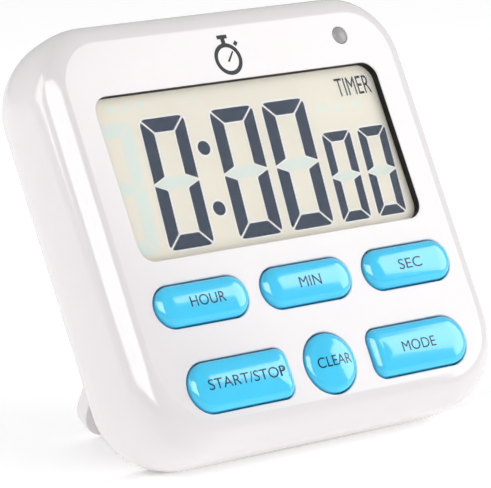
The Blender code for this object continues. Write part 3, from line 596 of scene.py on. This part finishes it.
# ---------------------------------------------------------------- printing
def text_mesh(words, width, height):
    """Flat letters as a bmesh in the x z plane, scaled to the given width and height and centred."""
    data = bpy.data.curves.new("words", "FONT")
    data.body = words
    data.resolution_u = 6
    obj = bpy.data.objects.new("words", data)
    bpy.context.scene.collection.objects.link(obj)
    bpy.context.view_layer.update()
    flat = bpy.data.meshes.new_from_object(obj.evaluated_get(bpy.context.evaluated_depsgraph_get()))
    bpy.data.objects.remove(obj)
    bpy.data.curves.remove(data)
    build = Build()
    build.mesh.from_mesh(flat)
    bpy.data.meshes.remove(flat)
    points = [v.co for v in build.mesh.verts]
    low_x, high_x = min(p.x for p in points), max(p.x for p in points)
    low_y, high_y = min(p.y for p in points), max(p.y for p in points)
    for vertex in build.mesh.verts:
        px = ((vertex.co.x - low_x) / (high_x - low_x) - 0.5) * width
        pz = ((vertex.co.y - low_y) / (high_y - low_y) - 0.5) * height
        vertex.co = (px, 0.0, pz)
    return build


# Legend widths and how far their middles lie from the middles of the caps
LEGEND_HIGH = 1.85
LEGEND_PLACES = {"hour": (7.4, 0.52, 0.06), "minute": (4.7, 0.0, 0.03), "second": (5.2, -0.05, 0.0),
                 "start_stop": (16.4, 0.82, 0.16), "clear": (7.1, 0.29, 0.11), "mode": (7.5, -0.73, 0.16)}


def make_legend(name, kind, x, z, paint):
    width, aside, above = LEGEND_PLACES[name]
    build = text_mesh(LEGENDS[name], width, LEGEND_HIGH)
    bmesh.ops.triangulate(build.mesh, faces=build.mesh.faces)
    bmesh.ops.subdivide_edges(build.mesh, edges=build.mesh.edges, cuts=1)
    for vertex in build.mesh.verts:
        dx, dz = vertex.co.x + aside, vertex.co.z + above
        vertex.co = (x + dx, -BUTTON_RISE - INK + crown(kind, dx, dz), z + dz)
    legend = build.piece("legend_" + name, paint["legend"])
    finish_piece(legend, name + "_key", "blue_plastic")


MARK_MIDDLE = (-0.4, 18.2)
MARK_RADIUS, MARK_RIM = 2.9, 0.75


def make_mark(paint):
    """A small generic stopwatch sign above the display."""
    x, z = MARK_MIDDLE
    head = z + MARK_RADIUS
    build = Build()
    outer = build.ring(circle(x, z, MARK_RADIUS), 0.0)
    inner = build.ring(circle(x, z, MARK_RADIUS - MARK_RIM), 0.0)
    build.bridge(outer, inner)
    shapes = [
        rectangle(x - 0.45, x + 0.45, head - 0.1, head + 0.8),
        rectangle(x - 1.1, x + 1.1, head + 0.8, head + 1.5),
        [(x - 0.3, z - 0.4), (x + 0.1, z - 0.55), (x + 1.5, z + 1.2), (x + 1.3, z + 1.4)],
        [(x + 1.95, z + 2.6), (x + 2.45, z + 2.1), (x + 3.05, z + 2.7), (x + 2.55, z + 3.2)],
    ]
    for shape in shapes:
        build.cap(build.ring(shape, 0.0))
    for vertex in build.mesh.verts:
        vertex.co.y = -INK
    mark = build.piece("stopwatch_mark", paint["mark"])
    finish_piece(mark, "housing", "white_abs")


# ---------------------------------------------------------------- display
SLANT = 0.079


def mitred_arc(centre, radius, start, end, steps=5):
    turns = [math.radians(start + (end - start) * i / steps) for i in range(steps + 1)]
    return [(centre[0] + radius * math.cos(a), centre[1] + radius * math.sin(a)) for a in turns]


def segment_shapes(left, bottom, width, height, bar, gap, corner, waist):
    """The seven segments of an upright digit, keyed a to g: mitred bars with rounded outer corners."""
    half_x, half_z = width / 2, height / 2
    shift = gap / math.sqrt(2)
    clear = math.degrees(math.asin(shift / (math.sqrt(2) * corner)))
    round_centre = (corner - half_x, half_z - corner)
    over = mitred_arc(round_centre, corner, 135 - clear, 90)
    top = over + [(-x, z) for x, z in reversed(over)]
    top += [(half_x - bar - shift, half_z - bar), (bar + shift - half_x, half_z - bar)]
    side = mitred_arc(round_centre, corner, 135 + clear, 180)
    side += [(-half_x, gap / 2), (bar - half_x, waist), (bar - half_x, half_z - bar - shift)]
    inner = bar - half_x + gap * 0.4
    middle = [(gap - half_x, 0.0), (inner, waist - gap / 2), (-inner, waist - gap / 2), (half_x - gap, 0.0),
              (-inner, gap / 2 - waist), (inner, gap / 2 - waist)]

    def placed(points, flip_x=1, flip_z=1):
        return [(left + half_x + flip_x * x, bottom + half_z + flip_z * z) for x, z in points]

    return {"a": placed(top), "b": placed(side, -1), "c": placed(side, -1, -1), "d": placed(top, 1, -1),
            "e": placed(side, 1, -1), "f": placed(side), "g": placed(middle)}


def slanted(points, bottom):
    return [(px + SLANT * (pz - bottom), pz) for px, pz in points]


BIG = {"width": 9.4, "height": 23.05, "bar": 2.5, "gap": 0.36, "corner": 1.25, "waist": 1.25}
SMALL = {"width": 6.4, "height": 16.2, "bar": 1.7, "gap": 0.3, "corner": 0.9, "waist": 0.9}
BIG_LEFTS = (-23.5, -8.55, 2.85)
SMALL_LEFTS = (14.35, 22.5)
DIGIT_BOTTOM = -12.95
COLON = ((-10.1, 3.75), (-10.9, -7.0))
COLON_RADIUS = 1.28
TIMER_WORD_WIDE, TIMER_WORD_HIGH = 7.8, 3.3
TIMER_WORD_MIDDLE = (26.05, 11.0)

# Faint signs: the middles of the bells, their row, and each bar's middle and half width
BELLS, BELL_ROW = (-9.4, 1.9), 12.6
BARS = ((-26.6, 12.6, 1.1), (-23.6, 12.6, 1.1), (-20.6, 12.6, 1.1),
        (17.4, 7.6, 1.5), (21.4, 7.6, 1.5), (25.4, 7.6, 1.5))

# How far each layer of the display lies in front of its surface: the pale rim of painted shade round the lit
# segments, the unlit segments and the lit segments
PAINTED_FRINGE_LAYER, GHOST_LAYER, SEGMENT_LAYER = 0.01, 0.02, 0.035
# Width of the pale rim of painted shade round each lit segment
PAINTED_FRINGE_WIDE = 0.3


def twice_area(points):
    """Twice the signed area inside an outline."""
    ahead = points[1:] + points[:1]
    return sum(px * qz - qx * pz for (px, pz), (qx, qz) in zip(points, ahead))


def grown(points, amount):
    """An outline pushed outward along its corner directions."""
    count = len(points)
    sign = 1 if twice_area(points) > 0 else -1
    out = []
    for i, (px, pz) in enumerate(points):
        before, after = Vector(points[i - 1]), Vector(points[(i + 1) % count])
        here = Vector((px, pz))
        one, two = (here - before), (after - here)
        if one.length < 1e-6 or two.length < 1e-6:
            out.append((px, pz))
            continue
        one.normalize()
        two.normalize()
        side = Vector((one.y + two.y, -(one.x + two.x)))
        if side.length < 1e-6:
            out.append((px, pz))
            continue
        side.normalize()
        out.append((px + sign * side.x * amount, pz + sign * side.y * amount))
    return out


def print_layer(name, outlines, above, material):
    """Flat shapes laid a little in front of the display's surface: the segments, the faint signs and the pale rim
    of painted shade round the lit segments.
    """
    build = Build()
    for outline in outlines:
        build.cap(build.ring(outline, GLASS_FRONT - above))
    return finish_piece(build.piece(name, material), "housing", "display")


def make_digits(paint):
    lit, unlit = [], []
    for lefts, size in ((BIG_LEFTS, BIG), (SMALL_LEFTS, SMALL)):
        for left in lefts:
            shapes = segment_shapes(left, DIGIT_BOTTOM, **size)
            for key, shape in shapes.items():
                (unlit if key == "g" else lit).append(slanted(shape, DIGIT_BOTTOM))
    for x, z in COLON:
        lit.append(circle(x, z, COLON_RADIUS, 32))
    ghost_left = BIG_LEFTS[0] - (BIG_LEFTS[2] - BIG_LEFTS[1])
    for shape in segment_shapes(ghost_left, DIGIT_BOTTOM, **BIG).values():
        unlit.append(slanted(shape, DIGIT_BOTTOM))
    # A pale rim round each lit segment: painted shade standing for its parallax shadow on the rear reflector
    painted_fringes = [grown(shape, PAINTED_FRINGE_WIDE) for shape in lit]
    print_layer("lcd_painted_shadow_fringes", painted_fringes, PAINTED_FRINGE_LAYER, paint["lcd_painted_shadow_fringe"])
    print_layer("lcd_ghost_segments", unlit, GHOST_LAYER, paint["lcd_ghost"])
    print_layer("lcd_segments", lit, SEGMENT_LAYER, paint["lcd_dark"])
    build = text_mesh("TIMER", TIMER_WORD_WIDE, TIMER_WORD_HIGH)
    x, z = TIMER_WORD_MIDDLE
    for vertex in build.mesh.verts:
        vertex.co = (x + vertex.co.x, GLASS_FRONT - SEGMENT_LAYER, z + vertex.co.z)
    words = build.piece("lcd_timer_word", paint["lcd_dark"])
    finish_piece(words, "housing", "display")
    make_ghost_icons(paint)


def make_ghost_icons(paint):
    """Faint unlit signs along the top of the display: two bells and short bars."""
    shapes = []
    z = BELL_ROW
    for x in BELLS:
        bell = [(x - 0.9, z - 0.7), (x + 0.9, z - 0.7), (x + 0.62, z - 0.3), (x + 0.55, z + 0.5),
                (x, z + 1.0), (x - 0.55, z + 0.5), (x - 0.62, z - 0.3)]
        shapes += [bell, circle(x, z - 1.05, 0.26, 12)]
    for x, z, half in BARS:
        shapes.append(even(x, z, half, 0.75, 0.3, 3))
    print_layer("lcd_ghost_icons", shapes, GHOST_LAYER, paint["lcd_faint"])


def make_glass(paint):
    low, high = in_timer("lcd_panel")
    glass = Build()
    outline = rounded(low.x, high.x, low.z, high.z, [0.6] * 4, 4)
    inner = rounded(low.x + 0.15, high.x - 0.15, low.z + 0.15, high.z - 0.15, [0.5] * 4, 4)
    glass.solid([(inner, GLASS_FRONT), (outline, GLASS_FRONT + 0.15), (outline, GLASS_BACK)])
    finish_piece(glass.piece("lcd_panel_glass", paint["lcd"]), "housing", "display", "lcd_panel")


def make_mask(paint):
    """The black frame round the display."""
    low, high = in_timer("display_frame")
    ring = Build()
    outer = rounded(low.x, high.x, low.z, high.z, [1.8] * 4)
    opening = even(0, 0, WINDOW_HALF, WINDOW_HIGH, WINDOW_RADIUS)
    front = ring.ring(outer, LIP + 0.03), ring.ring(opening, LIP + 0.03)
    back = ring.ring(outer, GLASS_FRONT - 0.05), ring.ring(opening, GLASS_FRONT - 0.05)
    ring.bridge(front[0], front[1])
    ring.bridge(back[0], back[1])
    ring.bridge(front[0], back[0])
    ring.bridge(front[1], back[1])
    finish_piece(ring.piece("display_mask", paint["black"]), "housing", "black_plastic", "display_frame")


def make_lens(paint):
    """The clear window, with blackened edges."""
    lens = Build()
    sheet = even(0, 0, WINDOW_HALF - 0.05, WINDOW_HIGH - 0.05, WINDOW_RADIUS - 0.05)
    lens.solid([(sheet, LENS_FRONT), (sheet, LENS_BACK)])
    cover = lens.piece("display_lens", paint["clear"])
    cover.data.materials.append(paint["black"])
    for face in cover.data.polygons:
        face.material_index = int(abs(face.normal.dot(INWARD)) < 0.5)
    finish_piece(cover, "housing", "clear_plastic", "display_window")


def make_display(paint):
    make_glass(paint)
    make_digits(paint)
    make_mask(paint)
    make_lens(paint)


# ---------------------------------------------------------------- case
def outer_rings():
    rest_depth, rest_inset = rest_place()
    rise = LAND_HALF * math.tan(LEAN)
    rings = []
    for i in range(1, 19):
        share, depth = shoulder_curve(i / 18)
        rings.append((shoulder_outline(share), depth))
    for depth in (10.0, 11.0, 12.0, 13.0, 14.0):
        rings.append((body_outline(back_inset(depth)), depth))
    rings.append((body_outline(rest_inset - rise), rest_depth - LAND_HALF))
    rings.append((body_outline(rest_inset + rise), rest_depth + LAND_HALF))
    return rings


def inner_rings():
    """The shell's rear edge and the inner side of its wall, from back to front."""
    end_inset = back_inset(SHELL_END)
    last = rest_place()[1] + LAND_HALF * math.tan(LEAN)
    return [
        (body_outline(last + 0.04), SHELL_END - 0.02),
        (body_outline(end_inset + 0.25), SHELL_END),
        (body_outline(end_inset + WALL), SHELL_END),
        (body_outline(back_inset(13.5) + WALL), 13.5),
        (shoulder_outline(0.0, WALL), SHOULDER_DEPTH),
        (shoulder_outline(0.07, WALL), 5.0),
        (shoulder_outline(0.2, WALL), 3.2),
        (shoulder_outline(0.45, WALL), WALL),
    ]


def window_hole(grow):
    """The window's outline, and behind its lip the wider room for the display frame."""
    side = grow if grow < 1 else FRAME_ROOM_SIDE
    high = grow if grow < 1 else FRAME_ROOM_HIGH
    return even(0, 0, WINDOW_HALF + side, WINDOW_HIGH + high, WINDOW_RADIUS + min(grow, 0.5))


def make_front_shell(paint):
    """The white front: a flat panel, deep rounded shoulders and softened openings."""
    build = Build()
    support = build.ring(shoulder_outline(1.0, 0.08), 0.0)
    crease = build.ring(shoulder_outline(1.0), 0.0)
    build.bridge(support, crease)
    first, inner = build.skin(outer_rings() + inner_rings())
    build.bridge(crease, first)
    face_loops, inner_loops = [support], [inner]

    def opening(outline, edge, extra):
        steps = [(edge + 0.03, 0.0)] + fillet(edge) + extra
        loops = [build.ring(outline(grow), depth) for grow, depth in steps]
        for one, two in zip(loops, loops[1:]):
            build.bridge(one, two)
        face_loops.append(loops[0])
        inner_loops.append(loops[-1])

    room = [(0.0, LIP), (FRAME_ROOM_SIDE, LIP), (FRAME_ROOM_SIDE, WALL)]
    opening(window_hole, WINDOW_EDGE, room)
    for name, kind in KINDS.items():
        x, z = on_face("button_" + name)

        def button_hole(grow, kind=kind, x=x, z=z):
            return button_outline(kind, x, z, BUTTON_FIT + grow)

        opening(button_hole, BUTTON_HOLE_EDGE, [(0.0, WALL)])
    x, z = on_face("alarm_lamp")

    def lamp_hole(grow):
        return circle(x, z, LAMP_RADIUS + LAMP_FIT + grow)

    opening(lamp_hole, LAMP_HOLE_EDGE, [(0.0, WALL)])
    build.fill(face_loops)
    build.fill(inner_loops)
    shell = build.piece("case_front", paint["white"], 38.0)
    finish_piece(shell, "housing", "white_abs", "front_shell")


def make_lamp(paint):
    """A low dome with a flange behind the face."""
    x, z = on_face("alarm_lamp")
    flange = LAMP_RADIUS + 0.3
    dome = [(-0.28 + 0.33 * (i / 8) ** 2.2, LAMP_RADIUS * max(i / 8, 0.02)) for i in range(9)]
    dome += [(LAMP_FLANGE_FRONT, LAMP_RADIUS), (LAMP_FLANGE_FRONT, flange), (LAMP_BACK, flange)]
    build = Build()
    build.turned(dome, (x, 0, z))
    lamp = build.piece("lamp_dome", paint["lamp"], 50.0)
    finish_piece(lamp, "housing", "lamp_grey", "alarm_lamp")


# ---------------------------------------------------------------- back
def cover_skin(white):
    """The cover's rounded outside and the tongue that enters the front shell."""
    rim = back_inset(COVER_START)
    tongue = rim + WALL + GAP
    rings = [(body_outline(tongue), COVER_START), (body_outline(rim + 0.2), COVER_START),
             (body_outline(back_inset(COVER_START + 0.12)), COVER_START + 0.12)]
    start = math.asin((COVER_START - SHOULDER_DEPTH) / BACK_DEPTH)
    for i in range(1, 15):
        angle = start + (0.5 * math.pi - start) * i / 14
        outline = body_outline(BACK_IN * (1 - math.cos(angle)))
        rings.append((outline, SHOULDER_DEPTH + BACK_DEPTH * math.sin(angle)))
    build = Build()
    first, last = build.skin(rings)
    build.cap(last)
    floor = body_outline(tongue + TONGUE_WALL)
    inner = [(body_outline(tongue), TONGUE_START), (floor, TONGUE_START), (floor, COVER_FLOOR)]
    loops = [build.ring(outline, depth) for outline, depth in inner]
    build.bridge(first, loops[0])
    for one, two in zip(loops, loops[1:]):
        build.bridge(one, two)
    build.cap(loops[-1])
    return build.piece("case_back", white, 30.0)


def add_inner_walls(cover, white):
    """Walls of the battery tub and the stand's pocket, and the bosses of magnets and screws."""
    reach = COVER_FLOOR + 0.4
    side, low, high = TUB_HALF + TUB_WALL, TUB_BOTTOM - TUB_WALL, TUB_TOP + TUB_WALL
    add(cover, box_tool((-side, TUB_FRONT, low), (side, reach, high), white))
    pocket = (-POCKET_SIDE, POCKET_WALL_FRONT, POCKET_END), (POCKET_SIDE, reach, TUB_BOTTOM - 1)
    add(cover, box_tool(*pocket, white))
    hinge_low = -POCKET_SIDE, HINGE_WALL_FRONT, STAND_AXIS.z - 4.6
    add(cover, box_tool(hinge_low, (POCKET_SIDE, reach - 0.1, TUB_BOTTOM - 0.9), white))
    for node in MAGNETS:
        add(cover, cylinder_tool(MAGNET_BOSS_FRONT, reach, MAGNET_BOSS_RADIUS, *on_face(node), white))
    for node in COVER_SCREWS:
        add(cover, cylinder_tool(SCREW_BOSS_FRONT, reach, SCREW_BOSS_RADIUS, *on_face(node), white))


def cut_compartments(cover, white):
    """Room for the cells, the door, the folded stand and its hinge."""
    cut(cover, box_tool((-TUB_HALF, TUB_FLOOR, TUB_BOTTOM), (TUB_HALF, BEYOND, TUB_TOP), white))
    low, high = in_timer("battery_door")
    ledge = rounded(low.x - GAP, high.x + GAP, low.z - GAP, high.z + GAP, [1.6] * 4, 6)
    cut(cover, prism(ledge, high.y - 1.5, BEYOND, white))
    top = STAND_AXIS.z + 2.0
    pocket = rounded(-POCKET_HALF, POCKET_HALF, BOTTOM - 5, top, [0.1, 0.1, 1.2, 1.2], 6)
    cut(cover, prism(pocket, POCKET_FLOOR, BEYOND, white))
    hinge_low = -POCKET_HALF, HINGE_FLOOR, STAND_AXIS.z - 3
    cut(cover, box_tool(hinge_low, (POCKET_HALF, BEYOND, top), white))
    socket = [(-PIN_SOCKET_HALF, PIN_SOCKET_RADIUS), (PIN_SOCKET_HALF, PIN_SOCKET_RADIUS)]
    cut(cover, hinge_tool(socket, 24, white))


def cut_seats(cover, white):
    for node in MAGNETS:
        cut(cover, cylinder_tool(MAGNET_SEAT_FRONT, BEYOND, MAGNET_SEAT_RADIUS, *on_face(node), white, 48))
    for node in COVER_SCREWS:
        cut(cover, cylinder_tool(SCREW_SEAT_FRONT, BEYOND, SCREW_SEAT_RADIUS, *on_face(node), white))


def cut_sound_holes(cover, white):
    """One hole behind the sounder's middle and two rings of holes round it."""
    x, z = on_face("sounder_disc")
    for radius, count in ((0.0, 1), (2.4, 6), (4.8, 12)):
        for i in range(count):
            angle = 2 * math.pi * i / count
            across, up = x + radius * math.cos(angle), z + radius * math.sin(angle)
            cut(cover, cylinder_tool(14.0, 17.5, SOUND_HOLE_RADIUS, across, up, white, 14))


def make_rear_cover(paint):
    white = paint["white"]
    cover = cover_skin(white)
    add_inner_walls(cover, white)
    cut_compartments(cover, white)
    cut_seats(cover, white)
    cut_sound_holes(cover, white)
    soften(cover, 0.22)
    finish_piece(cover, "housing", "white_abs", "rear_cover")


def make_door(paint):
    """The battery door with a softened rim, a rib inside, grip lines and an arrow."""
    white = paint["white"]
    low, high = in_timer("battery_door")
    back, edge = high.y, 0.3

    def outline(inset):
        return rounded(low.x + inset, high.x - inset, low.z + inset, high.z - inset, [1.4] * 4, 8)

    rings = [(0.1, back - 1.2), (0.0, back - 1.1)]
    for i in range(5):
        angle = 0.5 * math.pi * i / 4
        rings.append((edge * (1 - math.cos(angle)), back - edge * (1 - math.sin(angle))))
    rings.append((edge + 0.3, back))
    build = Build()
    build.close([build.ring(outline(inset), depth) for inset, depth in rings])
    door = build.piece("door_panel", white, 40.0)
    middle = (low.z + high.z) / 2
    add(door, box_tool((-20, back - 2.6, middle - 0.5), (20, back - 0.8, middle + 0.5), white))
    for i in range(4):
        z = low.z + 2.2 + 1.5 * i
        cut(door, prism(even(0, z, 6.5 - i, 0.35, 0.34, 6), back - 0.4, back + 1, white))
    arrow = [(-2.0, low.z + 9.6), (0.0, low.z + 8.2), (2.0, low.z + 9.6)]
    cut(door, prism(arrow, back - 0.3, back + 1, white))
    soften(door, 0.1)
    finish_piece(door, "door", "white_abs", "battery_door")


def stand_plate(tip, white):
    """The folded stand's flat plate with rounded edges, from its hinge down to its tip."""
    half, front, back, edge = STAND_HALF, STAND_FRONT, THICKNESS - 0.2, 0.3

    def outline(inset):
        radius = STAND_CORNER - inset
        radii = [radius, radius, 0.3, 0.3]
        return rounded(inset - half, half - inset, tip + inset, STAND_AXIS.z - 0.2, radii, 14)

    angles = [0.5 * math.pi * i / 4 for i in range(5)]
    rings = [(edge * (1 - math.sin(a)), front + edge * (1 - math.cos(a))) for a in angles]
    rings += [(edge * (1 - math.cos(a)), back - edge * (1 - math.sin(a))) for a in angles]
    build = Build()
    build.solid([(outline(inset), depth) for inset, depth in rings])
    return build.piece("stand_plate", white, 30.0)


def make_stand(paint):
    """The stand, made folded and then turned open: its plate, hinge barrel, pins and inner tray."""
    white, half = paint["white"], STAND_HALF
    tip = STAND_AXIS.z - STAND_REACH
    stand = stand_plate(tip, white)
    barrel = [(-half, 1.5), (-half + 0.2, 1.7), (half - 0.2, 1.7), (half, 1.5)]
    add(stand, hinge_tool(barrel, 32, white))
    pins = [(-half - 1.2, 0.9), (-half - 1.1, 1.0), (half + 1.1, 1.0), (half + 1.2, 0.9)]
    add(stand, hinge_tool(pins, 24, white))
    tray = rounded(-half + 3, half - 3, tip + 4, STAND_AXIS.z - 3.4, [4.0, 4.0, 0.8, 0.8], 8)
    cut(stand, prism(tray, STAND_FRONT - 1, STAND_FRONT + 0.7, white))
    soften(stand, 0.12, 2, 50.0)
    hinge = joint("stand_hinge")
    angle = -math.radians(hinge["range_deg"][0])
    pivot = Vector(hinge["pos_m"])
    turn = Matrix.Translation(pivot) @ Matrix.Rotation(angle, 4, "X") @ Matrix.Translation(-pivot)
    stand.data.transform(turn)
    finish_piece(stand, "stand_leg", "white_abs", "stand")


def make_screws(paint):
    """Round heads with a cross, on plain shanks."""
    steel = paint["steel"]
    for i, node in enumerate(COVER_SCREWS, 1):
        x, z = on_face(node)
        low, high = in_timer(node)
        head = high.y
        build = Build()
        build.turned([(head, 0.9), (head - 0.12, 1.3), (head - 0.5, 1.6), (head - 1.2, 1.6),
                      (head - 1.2, 0.85), (low.y, 0.85), (low.y, 0.1)], (x, 0, z))
        screw = build.piece("cross_screw_%d" % i, steel)
        for half_x, half_z in ((1.0, 0.2), (0.2, 1.0)):
            corner = x + half_x, head + 1, z + half_z
            cut(screw, box_tool((x - half_x, head - 0.6, z - half_z), corner, steel))
        finish_piece(screw, "housing", "steel", node)


def make_magnets(paint):
    for i, node in enumerate(MAGNETS, 1):
        x, z = on_face(node)
        low, high = in_timer(node)
        radius = (high.x - low.x) / 2
        build = Build()
        build.turned([(low.y, radius), (high.y - 0.25, radius), (high.y - 0.07, radius - 0.07),
                      (high.y, radius - 0.25), (high.y, 0.2)], (x, 0, z), "y", 64)
        disc = build.piece("disc_magnet_%d" % i, paint["nickel"])
        finish_piece(disc, "housing", "nickel", node)


# ---------------------------------------------------------------- what stays from the CAD
CAD_PAINT = {"grey_rubber": "rubber", "carbon": "carbon", "board_green": "board", "epoxy_black": "epoxy",
             "steel": "steel", "nickel": "nickel", "brass": "brass", "cell_wrap": "wrap", "wire_red": "red",
             "wire_black": "jacket", "black_plastic": "black", "white_abs": "white", "display": "lcd",
             "clear_plastic": "clear", "blue_plastic": "blue", "lamp_grey": "lamp"}


def paint_cad_nodes(paint):
    slots = {entry["node"]: entry["material_slot"] for entry in frame["record"]["subparts"]}
    for name, obj in frame["nodes"].items():
        obj.data.materials.clear()
        obj.data.materials.append(paint[CAD_PAINT[slots[name]]])
        smooth(obj)


# ---------------------------------------------------------------- floor, light and camera
CAMERA_FROM_WINDOW = Vector((-0.38335, -0.46288, 0.11236))
CAMERA_PITCH, CAMERA_YAW = math.radians(78.05), math.radians(-39.36)
CAMERA_LENS = 263.95

HORIZON_LIGHT, OVERHEAD_LIGHT = 0.47, 0.6
RIGHT_LIGHT, LEFT_LIGHT, SIDE_LIGHT, FRONT_LIGHT = 4.2, 6.3, 4.5, 1.8
# Softboxes: azimuth and elevation in degrees, then distance, width and height in metres
RIGHT_SOFTBOX = (57, 22, 1.1, 0.46, 0.62)
SIDE_FILL = (-110, 25, 1.1, 0.4, 0.7)
LEFT_SOFTBOX = (-44, 36, 1.1, 1.5, 0.75)
FRONT_FILL = (20, 12, 1.2, 0.8, 0.6)

# The floor, and its glow at these distances from the contact line in millimetres: the glow fades to nothing near
# that line, a painted contact shadow
FLOOR_HALF, FLOOR_WHITE, FLOOR_GLOW = 6.0, 0.9, 0.31
PAINTED_SHADOW_INNER, PAINTED_SHADOW_OUTER = 0.8, 3.2
PAINTED_SHADOW_ALONG = 0.07


def floor_material():
    """White with a faint even glow, which fades out near the line where the timer rests: a painted contact shadow.
    """
    m = Nodes("white_floor")
    m.shader.inputs["Base Color"].default_value = (FLOOR_WHITE, FLOOR_WHITE, FLOOR_WHITE, 1.0)
    m.shader.inputs["Roughness"].default_value = 0.9
    m.shader.inputs["Specular IOR Level"].default_value = 0.1
    m.shader.inputs["Emission Color"].default_value = (1.0, 1.0, 1.0, 1.0)
    rest_depth, rest_inset = rest_place()
    contact = TO_WORLD @ Vector((0, rest_depth, BOTTOM + rest_inset))
    # Painted contact shadow: the glow is taken away near the line where the timer rests
    offset = m.add("ShaderNodeVectorMath", operation="MULTIPLY_ADD")
    m.link(m.place, offset.inputs[0])
    offset.inputs[1].default_value = (PAINTED_SHADOW_ALONG, 1.0, 0.0)
    offset.inputs[2].default_value = (0.0, -contact.y, 0.0)
    away = m.add("ShaderNodeVectorMath", operation="LENGTH")
    m.link(offset.outputs["Vector"], away.inputs[0])
    glow = m.span(away.outputs["Value"], 0.0, FLOOR_GLOW)
    glow.node.inputs["From Min"].default_value = PAINTED_SHADOW_INNER * MM
    glow.node.inputs["From Max"].default_value = PAINTED_SHADOW_OUTER * MM
    m.link(glow, m.shader.inputs["Emission Strength"])
    return m.material


def make_floor():
    data = bpy.data.meshes.new("floor")
    corners = [(x, y, 0) for x, y in rectangle(-FLOOR_HALF, FLOOR_HALF, -FLOOR_HALF, FLOOR_HALF)]
    data.from_pydata(corners, [], [(0, 1, 2, 3)])
    floor = bpy.data.objects.new("floor", data)
    bpy.context.scene.collection.objects.link(floor)
    data.materials.append(floor_material())


def area_light(name, azimuth, elevation, distance, width, height, radiance, diffuse=True):
    """A rectangular softbox seen from the object at an azimuth right of the front and an elevation."""
    data = bpy.data.lights.new(name, "AREA")
    data.shape = "RECTANGLE"
    data.size, data.size_y = width, height
    data.energy = radiance * math.pi * width * height
    side, up = math.radians(azimuth), math.radians(elevation)
    away = Vector((math.sin(side) * math.cos(up), -math.cos(side) * math.cos(up), math.sin(up)))
    light = bpy.data.objects.new(name, data)
    light.location = ORIGIN + away * distance
    light.rotation_euler = (-away).to_track_quat("-Z", "Y").to_euler()
    light.visible_diffuse = diffuse
    bpy.context.scene.collection.objects.link(light)
    return light


def make_light():
    """A pale studio, a little brighter overhead, with four softboxes.

    The left one makes reflections only, and the front one makes none.
    """
    world = bpy.data.worlds.new("studio")
    bpy.context.scene.world = world
    world.use_nodes = True
    tree = world.node_tree
    place = tree.nodes.new("ShaderNodeTexCoord")
    split = tree.nodes.new("ShaderNodeSeparateXYZ")
    ramp = tree.nodes.new("ShaderNodeMapRange")
    ramp.inputs["From Min"].default_value = 0.1
    ramp.inputs["From Max"].default_value = 0.9
    ramp.inputs["To Min"].default_value = HORIZON_LIGHT
    ramp.inputs["To Max"].default_value = OVERHEAD_LIGHT
    tree.links.new(place.outputs["Generated"], split.inputs["Vector"])
    tree.links.new(split.outputs["Z"], ramp.inputs["Value"])
    tree.links.new(ramp.outputs["Result"], tree.nodes["Background"].inputs["Strength"])
    tree.nodes["Background"].inputs["Color"].default_value = (1.0, 1.0, 1.0, 1.0)
    area_light("right_softbox", *RIGHT_SOFTBOX, RIGHT_LIGHT)
    area_light("side_fill", *SIDE_FILL, SIDE_LIGHT)
    area_light("left_softbox", *LEFT_SOFTBOX, LEFT_LIGHT, diffuse=False)
    front = area_light("front_fill", *FRONT_FILL, FRONT_LIGHT)
    front.visible_glossy = False


def make_camera():
    data = bpy.data.cameras.new("camera")
    data.lens = CAMERA_LENS
    data.clip_start = 0.01
    camera = bpy.data.objects.new("camera", data)
    camera.location = ORIGIN + CAMERA_FROM_WINDOW
    camera.rotation_euler = (CAMERA_PITCH, 0.0, CAMERA_YAW)
    bpy.context.scene.collection.objects.link(camera)
    bpy.context.scene.camera = camera
    bpy.context.scene.view_settings.view_transform = "Standard"


def main():
    paint = make_materials()
    paint_cad_nodes(paint)
    make_front_shell(paint)
    make_rear_cover(paint)
    make_door(paint)
    make_stand(paint)
    make_display(paint)
    make_lamp(paint)
    for name in KINDS:
        make_button(name, paint)
    make_mark(paint)
    make_screws(paint)
    make_magnets(paint)
    make_floor()
    make_light()
    make_camera()


main()
